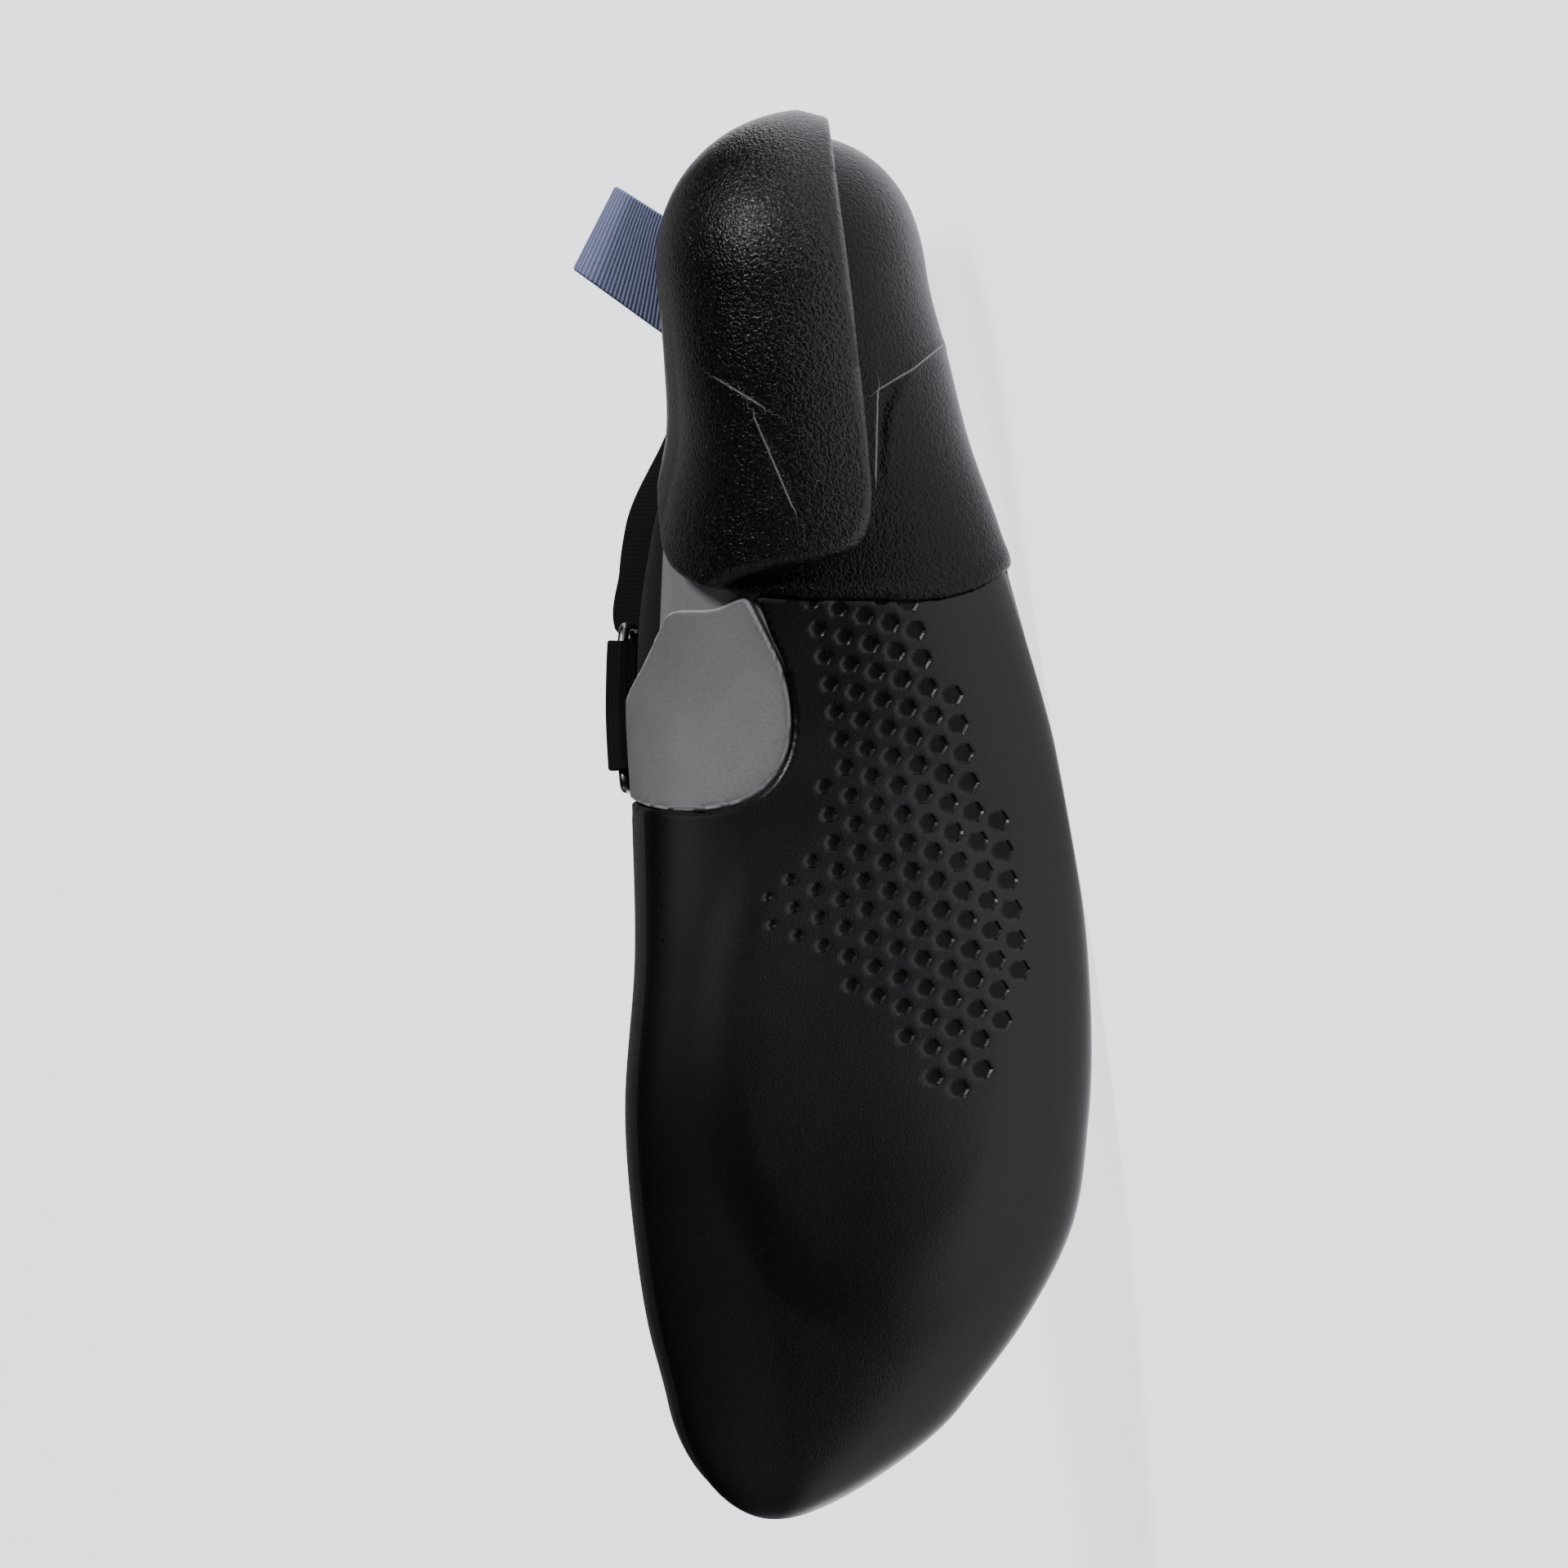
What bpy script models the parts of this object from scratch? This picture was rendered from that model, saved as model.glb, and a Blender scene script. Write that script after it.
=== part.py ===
"""Right-foot climbing shoe, lying empty on its outer side.

The shoe is worked out standing, in millimetres, with x from heel to toe, y towards the inner
side of the foot and z up. An empty then lays it down, in metres, with the sole facing -Y.
"""

from collections import namedtuple
import math

import bmesh
import bpy
import numpy as np
from mathutils import Matrix, Vector

MM = 0.001

# Driving dimensions, in millimetres
LENGTH = 250.0
BALL_WIDTH = 82.0
INSTEP_HEIGHT = 80.0
HEEL_HEIGHT = 84.0
WALL = 2.0
GAP = 0.3

# Layers that lie on the upper, in millimetres
SOLE_BALL = 3.7
SOLE_WAIST = 2.3
SOLE_SIDE = 2.4
TOE_EDGE = 2.7
CUP = 2.4
PAD_RISE = 4.4
RAND = 1.5
PANEL = 1.6
WEBBING = 1.4
TONGUE = 3.0
INSOLE = 1.8
ROLL_RADIUS = 3.0
WIRE_RADIUS = 1.0

# How the shoe lies: turn of its outer side against the floor, in degrees, and how far the floor
# lies from the shoe's middle line, in millimetres
LIE_ROLL = 10.0
LIE_YAW = 7.5
FLOOR_OFFSET = -24.35

# Cross-sections of the upper from heel to toe. along is a percentage of LENGTH; med, lat, keel
# and ridge are the inner edge, outer edge, lowest line and top line across the foot, in percent
# of BALL_WIDTH; low, top, med_z and lat_z are the heights of the underside, the top line and the
# two widest points, in percent of INSTEP_HEIGHT; med_n and lat_n say how square the two lower
# corners are, 2 being round. OUTER_FLANK says the same of the outer side above its widest point.
Section = namedtuple("Section", "along med lat keel ridge low top med_z lat_z med_n lat_n")
SECTIONS = [
    Section(3.0, 37.0, -12.0, 11.5, 12.8, 15.0, 162.0, 47.0, 47.0, 2.2, 2.2),
    Section(12.0, 36.4, -11.8, 11.2, 12.8, 15.0, 162.0, 47.0, 46.0, 2.2, 2.2),
    Section(18.0, 36.4, -16.4, 10.6, 12.8, 15.5, 162.0, 49.0, 44.0, 2.2, 2.2),
    Section(24.0, 37.6, -21.0, 8.5, 12.2, 17.5, 159.0, 57.0, 42.0, 2.1, 2.2),
    Section(30.0, 43.0, -27.4, 6.0, 11.6, 20.6, 142.0, 68.0, 40.0, 2.0, 2.2),
    Section(35.0, 46.6, -31.8, 3.7, 11.0, 23.0, 126.0, 72.0, 38.0, 2.0, 2.2),
    Section(42.0, 48.0, -37.4, 1.2, 10.0, 24.2, 111.0, 68.0, 34.0, 2.1, 2.2),
    Section(50.0, 46.8, -42.8, 0.0, 9.4, 21.0, 100.6, 54.0, 28.0, 2.4, 2.3),
    Section(60.0, 46.0, -46.4, 0.0, 10.0, 12.0, 87.5, 35.0, 20.0, 2.8, 2.4),
    Section(72.0, 48.0, -46.4, 0.4, 11.0, 5.5, 68.0, 22.5, 16.5, 3.2, 2.5),
    Section(80.0, 46.0, -42.2, 2.0, 13.4, 5.7, 54.0, 19.5, 16.0, 3.2, 2.6),
    Section(86.0, 43.2, -32.4, 5.0, 15.6, 6.6, 43.0, 18.0, 16.0, 3.2, 2.8),
    Section(92.0, 38.6, -18.0, 11.0, 17.2, 6.2, 34.0, 16.5, 15.5, 3.0, 2.8),
    Section(98.8, 36.2, -0.5, 17.7, 17.7, 5.0, 26.0, 15.0, 15.0, 3.0, 2.8),
]
OUTER_FLANK = 1.7

# The rim of the collar seen from the side, then the top edges of the heel cup and of the rand:
# x and z in percent of LENGTH and HEEL_HEIGHT
Edge = namedtuple("Edge", "along height")
RIM = [Edge(-2, 101), Edge(2.5, 100), Edge(8, 92), Edge(16, 84.5), Edge(23, 83.5), Edge(30, 89),
       Edge(35, 94), Edge(39, 98.5), Edge(43, 107), Edge(47, 120)]
CUP_TOP = [Edge(-2, 75), Edge(8, 71), Edge(18, 63), Edge(28, 51.5), Edge(38, 47)]
RAND_TOP = [Edge(28, 46), Edge(33, 48), Edge(38, 50), Edge(45, 50.5), Edge(55, 47), Edge(66, 44), Edge(74, 53),
            Edge(80, 74)]

# Outline of the arch panel seen from below: x along the shoe and y towards the inner side. Its
# first sides are those that the outsole runs along.
Plan = namedtuple("Plan", "x y")
PANEL_PLAN = [Plan(88.2, 18.6), Plan(94.2, 15.6), Plan(99.5, 13.2), Plan(106.0, 11.8),
              Plan(112.5, 11.8), Plan(117.8, 13.6), Plan(121.6, 16.8), Plan(124.2, 22.0),
              Plan(125.2, 29.0), Plan(124.6, 36.0), Plan(123.0, 46.0), Plan(110.5, 46.0),
              Plan(109.0, 41.2), Plan(103.5, 39.2), Plan(98.5, 36.6), Plan(94.0, 34.6),
              Plan(89.8, 32.2), Plan(89.2, 25.0)]
PANEL_SOLE_SIDES = 9

# The raised heel pad's plan: the fin runs from the back of the heel along its outer edge
PAD_PLAN = [Plan(-12.0, 30.0), Plan(-12.0, 8.4), Plan(-4.0, 7.3), Plan(6.0, 5.7), Plan(20.0, 3.9),
            Plan(33.0, 2.2), Plan(46.0, 0.6), Plan(56.0, -0.7), Plan(64.0, -1.6), Plan(72.0, -2.2),
            Plan(76.5, -1.2), Plan(79.2, 1.8), Plan(81.2, 9.6), Plan(82.6, 16.0), Plan(84.6, 22.0),
            Plan(91.0, 32.0), Plan(96.0, 60.0), Plan(20.0, 60.0), Plan(-12.0, 60.0)]

# The front edge of the heel cup seen from below
CUP_FRONT = [Plan(60.0, 45.0), Plan(72.5, 34.6), Plan(78.4, 32.2), Plan(82.6, 28.9),
             Plan(86.0, 21.2), Plan(87.2, 14.0), Plan(87.6, -4.4), Plan(87.6, -12.0),
             Plan(86.8, -17.0), Plan(85.2, -21.4), Plan(82.0, -25.4), Plan(74.0, -32.0)]

# Lines round the section that the facets follow: 0 is the keel, 1 the inner edge, -1 the outer
# edge and 2 the top line; THROAT is half the open throat, counted in lines from the top line
LOWER_LINES = [-1.0, -0.88, -0.74, -0.58, -0.4, -0.2, 0.0, 0.2, 0.38, 0.52, 0.62, 0.75, 0.88, 1.0]
UPPER_LINES = [1.13, 1.27, 1.42, 1.57, 1.71, 1.86, 2.0]
STATIONS = 35
THROAT = 0.34

HEEL_X = SECTIONS[0].along * LENGTH / 100
TOE_X = SECTIONS[-1].along * LENGTH / 100
HEEL_PLAN_ROUND = 22.0
HEEL_SIDE_ROUND = 24.0
TOE_PLAN_ROUND = 18.0
TOE_SIDE_ROUND = 11.0
POLE_SIZE = 0.2
BODY_NAME = "climbing_shoe"


def curve(x, knots, values):
    """Cubic through the knots, each slope taken from the neighbouring knots."""
    knots = np.asarray(knots, float)
    values = np.asarray(values, float)
    gaps = np.diff(knots)
    rises = np.diff(values) / gaps
    inner = (rises[:-1] * gaps[1:] + rises[1:] * gaps[:-1]) / (gaps[:-1] + gaps[1:])
    slopes = np.concatenate([rises[:1], inner, rises[-1:]])
    x = np.clip(np.asarray(x, float), knots[0], knots[-1])
    i = np.clip(np.searchsorted(knots, x) - 1, 0, len(gaps) - 1)
    u = (x - knots[i]) / gaps[i]
    first = (1 + 2 * u) * (1 - u) ** 2 * values[i] + u * (1 - u) ** 2 * gaps[i] * slopes[i]
    second = u * u * (3 - 2 * u) * values[i + 1] - u * u * (1 - u) * gaps[i] * slopes[i + 1]
    return first + second


def column(x, name, unit):
    """A section column at x, in millimetres, or as it stands when unit is 100."""
    knots = [row.along * LENGTH / 100 for row in SECTIONS]
    return curve(x, knots, [getattr(row, name) for row in SECTIONS]) * unit / 100


def closing(x, heel_round, toe_round, power=2.0):
    """1 along the shoe, falling to 0 at both ends as a superellipse."""
    heel = np.clip((HEEL_X + heel_round - x) / heel_round, 0, 1)
    toe = np.clip((x - TOE_X + toe_round) / toe_round, 0, 1)
    return (1 - heel ** 2.0) ** 0.5 * (1 - toe ** power) ** (1 / power)


def sections(x):
    """All section columns at x as a dictionary of arrays."""
    found = {name: column(x, name, BALL_WIDTH) for name in ("med", "lat", "keel", "ridge")}
    found |= {name: column(x, name, INSTEP_HEIGHT) for name in ("low", "top", "med_z", "lat_z")}
    found |= {name: column(x, name, 100) for name in ("med_n", "lat_n")}
    return found


def ring(x, t, columns, toe_power=2.0):
    """Points of the closed section at x: four quarter superellipses, t running round them."""
    t = (np.asarray(t, float) + 2) % 4 - 2
    inner = t >= 0
    above = np.abs(t) > 1
    angle = (np.abs(t) - above) * math.pi / 2
    side = np.where(inner, columns["med"], columns["lat"])
    side_z = np.where(inner, columns["med_z"], columns["lat_z"])
    low_power = np.where(inner, columns["med_n"], columns["lat_n"])
    power = np.where(above, np.where(inner, 2.0, OUTER_FLANK), low_power)
    cos, sin = np.cos(angle), np.sin(angle)
    reach = (np.abs(cos) ** power + np.abs(sin) ** power) ** (-1 / power)
    middle = np.where(above, columns["ridge"], columns["keel"])
    y = middle + (side - middle) * reach * np.where(above, cos, sin)
    z_above = side_z + (columns["top"] - side_z) * reach * sin
    z_below = side_z - (side_z - columns["low"]) * reach * cos
    z = np.where(above, z_above, z_below)
    back = x < LENGTH / 2
    pole_y = np.where(back, SECTIONS[0].ridge, SECTIONS[-1].ridge) * BALL_WIDTH / 100
    pole_z = np.where(back, SECTIONS[0].med_z, SECTIONS[-1].med_z) * INSTEP_HEIGHT / 100
    y = pole_y + (y - pole_y) * closing(x, HEEL_PLAN_ROUND, TOE_PLAN_ROUND)
    z = pole_z + (z - pole_z) * closing(x, HEEL_SIDE_ROUND, TOE_SIDE_ROUND, toe_power)
    return np.stack([x + 0 * t, y, z], axis=-1)


def share(x):
    """Where x lies between heel 0 and toe 1, spaced closer at the ends."""
    level = np.clip((np.asarray(x, float) - HEEL_X) / (TOE_X - HEEL_X), 0, 1)
    return np.arccos(1 - 2 * level) / math.pi


def body(x, t, lift):
    """Points lift millimetres outside the upper's outer face, at section x and line t."""
    x, t, lift = np.broadcast_arrays(np.asarray(x, float), np.asarray(t, float), lift)
    step = 1e-4

    def at(where, line):
        place = HEEL_X + (TOE_X - HEEL_X) * (1 - np.cos(math.pi * where)) / 2
        return ring(place, line, sections(place))

    s = np.clip(share(x), 2 * step, 1 - 2 * step)
    along = at(s + step, t) - at(s - step, t)
    around = at(s, t + step) - at(s, t - step)
    normal = np.cross(around, along)
    normal /= np.linalg.norm(normal, axis=-1, keepdims=True)
    return ring(x, t, sections(x)) + normal * np.asarray(lift)[..., None]


def sole_face(x, t):
    """Outer face of the outsole: flat with a sharp inner edge, rolled up at the outer side."""
    x, t = np.broadcast_arrays(np.asarray(x, float), np.asarray(t, float))
    columns = sections(x)
    front = np.clip((x - 0.34 * LENGTH) / (0.24 * LENGTH), 0, 1)
    front = front * front * (3 - 2 * front)
    depth = GAP + SOLE_WAIST + (SOLE_BALL - SOLE_WAIST) * front
    ball = np.exp(-((x - 0.7 * LENGTH) / 24) ** 2)
    columns["low"] = columns["low"] - depth - 0.8 * ball
    columns["med"] = columns["med"] + GAP
    columns["lat"] = columns["lat"] - GAP - SOLE_SIDE
    columns["med_n"] = columns["med_n"] + 3.5
    points = ring(x, t, columns, toe_power=5.0)
    toe = np.clip((x - 0.8 * LENGTH) / (TOE_X - 0.8 * LENGTH), 0, 1)
    points[..., 0] = points[..., 0] + (GAP + TOE_EDGE) * toe ** 2
    return points


def stations(start, end, exact=True):
    """The facets' common stations from start to end: ending there, or at the next ones beyond."""
    level = np.arange(STATIONS + 1) / STATIONS
    x = HEEL_X + (TOE_X - HEEL_X) * (1 - np.cos(math.pi * level)) / 2
    if exact:
        return np.concatenate([[start], x[(x > start + 1.0) & (x < end - 1.0)], [end]])
    first = max(np.searchsorted(x, start) - 1, 0)
    return x[first:np.searchsorted(x, end) + 1]


def lines(start, end):
    """The facets' common lines from one place round the section to another, by way of the keel."""
    every = np.array([-line for line in UPPER_LINES[::-1]] + LOWER_LINES + UPPER_LINES)
    inside = every[(every > start + 0.02) & (every < end - 0.02)]
    return np.concatenate([[start], inside, [end]])


def over_top(start, end):
    """The facets' common lines from the inner side over the top line to the outer side."""
    return np.concatenate([lines(start, 2.0), lines(-2.0, end)[1:] + 4.0])


def solid(name, inner, outer, wrap=False):
    """Closed solid between two grids of points, its open edges walled, coincident points merged.

    An end whose points all meet at a pole is left without a wall. Every quad is split along the
    same diagonal, so that the facets of layers lie parallel.
    """
    rows, cols = inner.shape[:2]
    index = np.arange(rows * cols).reshape(rows, cols)
    if wrap:
        index = np.concatenate([index, index[:, :1]], axis=1)
    far = index + rows * cols
    rims = []
    for row, turned in ((0, False), (-1, True)):
        if np.ptp(outer[row], axis=0).max() < POLE_SIZE:
            inner[row] = inner[row].mean(axis=0)
            outer[row] = outer[row].mean(axis=0)
        else:
            rims.append((index[row], far[row], turned))
    if not wrap:
        rims += [(index[:, 0], far[:, 0], True), (index[:, -1], far[:, -1], False)]
    faces = []
    for grid, turned in ((far, False), (index, True)):
        quads = np.stack([grid[:-1, :-1], grid[:-1, 1:], grid[1:, 1:], grid[1:, :-1]], axis=-1)
        halves = quads.reshape(-1, 4)[:, [0, 1, 2, 0, 2, 3]].reshape(-1, 3)
        faces += (halves[:, ::-1] if turned else halves).tolist()
    for near, away, turned in rims:
        quads = np.stack([near[:-1], near[1:], away[1:], away[:-1]], axis=-1)
        faces += (quads[:, ::-1] if turned else quads).tolist()
    points = np.concatenate([inner.reshape(-1, 3), outer.reshape(-1, 3)]) * MM
    mesh = bpy.data.meshes.new(name)
    mesh.from_pydata(points.tolist(), [], faces)
    return finished(name, mesh)


def finished(name, mesh):
    """Object of a mesh whose coincident points are merged and whose faces point out."""
    work = bmesh.new()
    work.from_mesh(mesh)
    bmesh.ops.remove_doubles(work, verts=work.verts, dist=0.00001)
    bmesh.ops.dissolve_degenerate(work, edges=work.edges, dist=0.00001)
    if work.calc_volume(signed=True) < 0:
        bmesh.ops.reverse_faces(work, faces=work.faces)
    work.to_mesh(mesh)
    work.free()
    return bpy.data.objects.new(name, mesh)


def prism(name, outline, low, high, upright=True):
    """Cutter from an outline: upright along z from (x, y), or along y from (x, z)."""
    work = bmesh.new()
    if upright:
        corners = [work.verts.new((a * MM, b * MM, low * MM)) for a, b in outline]
        move = Vector((0, 0, (high - low) * MM))
    else:
        corners = [work.verts.new((a * MM, low * MM, b * MM)) for a, b in outline]
        move = Vector((0, (high - low) * MM, 0))
    base = work.faces.new(corners)
    side = bmesh.ops.extrude_face_region(work, geom=[base])["geom"]
    bmesh.ops.translate(work, verts=[v for v in side if isinstance(v, bmesh.types.BMVert)], vec=move)
    bmesh.ops.recalc_face_normals(work, faces=work.faces)
    mesh = bpy.data.meshes.new(name)
    work.to_mesh(mesh)
    work.free()
    made = bpy.data.objects.new(name, mesh)
    return as_cutter(made)


def as_cutter(made):
    """Keep a cutter out of the object and show it as wire."""
    made.hide_render = True
    made.display_type = "WIRE"
    cutters.objects.link(made)
    made.parent = lie
    return made


def cut(made, cutter, operation="DIFFERENCE"):
    """Boolean of an object with a cutter."""
    step = made.modifiers.new(cutter.name, "BOOLEAN")
    step.operation = operation
    step.solver = "EXACT"
    step.object = cutter


def smooth_outline(plan, per_side=4):
    """Closed outline through plan points, rounded by a uniform cubic through them."""
    points = np.array(plan, float)
    count = len(points)
    u = np.arange(per_side) / per_side
    rounded = []
    for i in range(count):
        a, b, c, d = (points[(i + k - 1) % count] for k in range(4))
        for w in u:
            rounded.append(0.5 * (2 * b + (c - a) * w + (2 * a - 5 * b + 4 * c - d) * w * w
                                  + (3 * b - a - 3 * c + d) * w ** 3))
    return [tuple(p) for p in rounded]


def grown(outline, distance):
    """Outline moved outwards by a distance along its own normals."""
    points = np.array(outline, float)
    run = np.roll(points, -1, axis=0) - np.roll(points, 1, axis=0)
    out = np.stack([run[:, 1], -run[:, 0]], axis=1)
    out /= np.linalg.norm(out, axis=1, keepdims=True)
    area = np.sum(points[:, 0] * np.roll(points[:, 1], -1) - np.roll(points[:, 0], -1) * points[:, 1])
    return [tuple(p) for p in points + out * distance * np.sign(area)]


def edge_curve(table, x):
    """Height of an edge table at x."""
    knots = [row.along * LENGTH / 100 for row in table]
    return curve(x, knots, [row.height * HEEL_HEIGHT / 100 for row in table])


def above_edge(name, table, count=26):
    """Cutter that takes away everything above an edge table."""
    first = table[0].along * LENGTH / 100
    last = table[-1].along * LENGTH / 100
    x = np.linspace(first, last, count)
    outline = list(zip(x, edge_curve(table, x)))
    outline += [(last, 190.0), (first, 190.0)]
    return prism(name, outline, -90.0, 90.0, upright=False)


def finish_of(name, colour, roughness, metallic=0.0):
    """Principled material from an sRGB hex colour."""
    made = bpy.data.materials.new(name)
    made.use_nodes = True
    shader = made.node_tree.nodes["Principled BSDF"]
    levels = [int(colour[i:i + 2], 16) / 255 for i in (0, 2, 4)]
    linear = [c / 12.92 if c <= 0.04045 else ((c + 0.055) / 1.055) ** 2.4 for c in levels]
    shader.inputs["Base Color"].default_value = (*linear, 1.0)
    shader.inputs["Roughness"].default_value = roughness
    shader.inputs["Metallic"].default_value = metallic
    return made


def add_part(made, material):
    """Put a finished sub-part in the shoe's collection, under the empty, with its material."""
    made.data.materials.clear()
    made.data.materials.append(material)
    parts.objects.link(made)
    made.parent = lie
    made.data.shade_smooth()
    made.data.set_sharp_from_angle(angle=math.radians(40))
    return made


def full_ring():
    """Every common line once round the section."""
    return lines(-2.0, 2.0)[:-1]


def make_upper():
    """Hollow wall of the whole last, opened at collar and throat and under the forefoot."""
    x = stations(HEEL_X, TOE_X)[:, None]
    t = full_ring()[None, :]
    made = solid("upper", body(x, t, -WALL), body(x, t, 0.0), wrap=True)
    cut(made, above_edge("cut_collar", RIM))
    x = np.linspace(0.3 * LENGTH, 0.66 * LENGTH, 18)
    rounding = np.clip((x / LENGTH - 0.52) / 0.14, 0, 1)
    half = THROAT * np.sqrt(1 - rounding ** 2)
    throat = np.concatenate([body(x, 2 - half, 0.0), body(x, half - 2, 0.0)[-2::-1]])
    cut(made, prism("cut_throat", throat[:, :2].tolist(), 0.62 * INSTEP_HEIGHT, 190.0))
    x = np.linspace(0.55 * LENGTH, 0.93 * LENGTH, 14)
    window = np.concatenate([body(x, 0.42, 0.0), body(x, -0.5, 0.0)[::-1]])
    cut(made, prism("cut_under_forefoot", window[:, :2].tolist(), -12.0, 0.3 * INSTEP_HEIGHT))
    return made


def sole_edges(x):
    """Lines of the outsole's inner and outer edges at x."""
    inner = 0.62 + 0.23 * np.clip((x - 0.88 * LENGTH) / (0.1 * LENGTH), 0, 1) ** 2
    outer = -curve(x / LENGTH, [0.34, 0.45, 0.54, 0.8, 0.9, 1.0], [0.8, 0.93, 1.02, 1.0, 0.9, 0.85])
    return inner, outer


def strip_lines(common, first, last):
    """Common lines at each station, held between the edges first and last."""
    first, last = first[:, None], last[:, None]
    t = np.clip(np.broadcast_to(common, (len(first), len(common))), first, last)
    t[:, 0] = first[:, 0]
    t[:, -1] = last[:, 0]
    return t


def behind_cup(name):
    """Cutter that takes away everything behind the front edge of the heel cup."""
    heel = smooth_outline(CUP_FRONT + [Plan(-30.0, -60.0), Plan(-30.0, 80.0)], 3)
    return prism(name, grown(heel, GAP), -40.0, 0.7 * INSTEP_HEIGHT)


def make_outsole():
    """Half sole from the heel cup to the toe, cut out at the arch."""
    x = stations(0.29 * LENGTH, TOE_X)
    inner, outer = sole_edges(x)
    t = strip_lines(lines(-1.1, 0.9), outer, inner)
    made = solid("outsole", body(x[:, None], t, GAP), sole_face(x[:, None], t))
    per_side = 4
    border = grown(smooth_outline(PANEL_PLAN, per_side), GAP)[:PANEL_SOLE_SIDES * per_side + 1]
    behind = 0.26 * LENGTH
    arch = border + [(border[-1][0], 60.0), (behind, 60.0), (behind, border[0][1] + 2.0)]
    cut(made, prism("cut_sole_arch", arch, -20.0, 0.7 * INSTEP_HEIGHT))
    cut(made, behind_cup("cut_sole_heel"))
    return made


def make_heel_cup():
    """Moulded cup with a raised inner pad, joined to it along the fin."""
    front = 0.37 * LENGTH
    x = stations(HEEL_X, front, exact=False)[:, None]
    t = full_ring()[None, :]
    made = solid("heel_cup", body(x, t, GAP), body(x, t, GAP + CUP), wrap=True)
    reach = np.abs(np.clip(t, -1.0, 2.0) - 0.2)
    forward = np.clip((x / LENGTH - 0.07) / 0.2, 0, 1)
    inside = np.clip((t - 0.3) / 0.4, 0, 1)
    fade = 0.85 * inside * forward ** 2 * (3 - 2 * forward)
    rise = PAD_RISE * (1 - 0.28 * np.clip(reach, 0, 2) ** 2) * (1 - fade)
    block = solid("heel_pad_block", body(x, t, GAP + 0.5 * CUP), body(x, t, GAP + CUP + rise), wrap=True)
    cut(block, prism("keep_heel_pad", smooth_outline(PAD_PLAN, 3), -40.0, 120.0), "INTERSECT")
    as_cutter(block)
    cut(made, block, "UNION")
    front_plan = smooth_outline(CUP_FRONT + [Plan(130.0, -60.0), Plan(130.0, 80.0)], 3)
    cut(made, prism("cut_cup_front", front_plan, -40.0, 190.0))
    cut(made, above_edge("cut_cup_top", CUP_TOP))
    return made


def make_toe_rand():
    """Thin rubber round the forefoot above the sole edge, closed over the toes."""
    x = stations(0.29 * LENGTH, TOE_X)
    inner, outer = sole_edges(x)
    slack = 0.028
    t = strip_lines(over_top(0.56, -0.74), inner + slack, 4.0 + outer - slack)
    made = solid("toe_rand", body(x[:, None], t, GAP), body(x[:, None], t, GAP + RAND))
    cut(made, above_edge("cut_rand_top", RAND_TOP))
    behind = [(0.26 * LENGTH, 0.0), (126.2, 0.0), (126.2, 70.0), (0.26 * LENGTH, 70.0)]
    cut(made, prism("cut_rand_arch", behind, -40.0, 120.0))
    cut(made, behind_cup("cut_rand_heel"))
    return made


def make_arch_panel():
    """Suede panel over the arch, between heel cup and outsole."""
    x = stations(84.0, 128.0, exact=False)[:, None]
    t = lines(0.0, 1.0)[None, :]
    made = solid("arch_panel", body(x, t, GAP), body(x, t, GAP + PANEL))
    cut(made, prism("keep_arch_panel", smooth_outline(PANEL_PLAN), -20.0, INSTEP_HEIGHT), "INTERSECT")
    return made


def make_tongue():
    """Padded tongue under the throat, standing out of it at the ankle."""
    x = stations(0.315 * LENGTH, 0.69 * LENGTH)[:, None]
    t = over_top(1.5, -1.5)[None, :]
    below = -WALL - GAP
    return solid("tongue", body(x, t, below - TONGUE), body(x, t, below))


def make_insole():
    """Board on the inside of the upper, from heel to toes."""
    x = stations(0.08 * LENGTH, 0.945 * LENGTH)[:, None]
    t = lines(-0.58, 0.52)[None, :]
    below = -WALL - GAP
    return solid("insole", body(x, t, below - INSOLE), body(x, t, below))


def rim_line(x, inner):
    """Line t at which the section at x reaches the rim."""
    columns = sections(x)
    side = columns["med_z"] if inner else columns["lat_z"]
    pole = SECTIONS[0].med_z * INSTEP_HEIGHT / 100
    small = closing(x, HEEL_SIDE_ROUND, TOE_SIDE_ROUND)
    height = pole + (edge_curve(RIM, x) - pole) / small
    up = np.clip((height - side) / (columns["top"] - side), 0, 1)
    power = 2.0 if inner else OUTER_FLANK
    t = 1 + np.arctan2(up, (1 - up ** power) ** (1 / power)) / (math.pi / 2)
    return t if inner else -t


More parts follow.
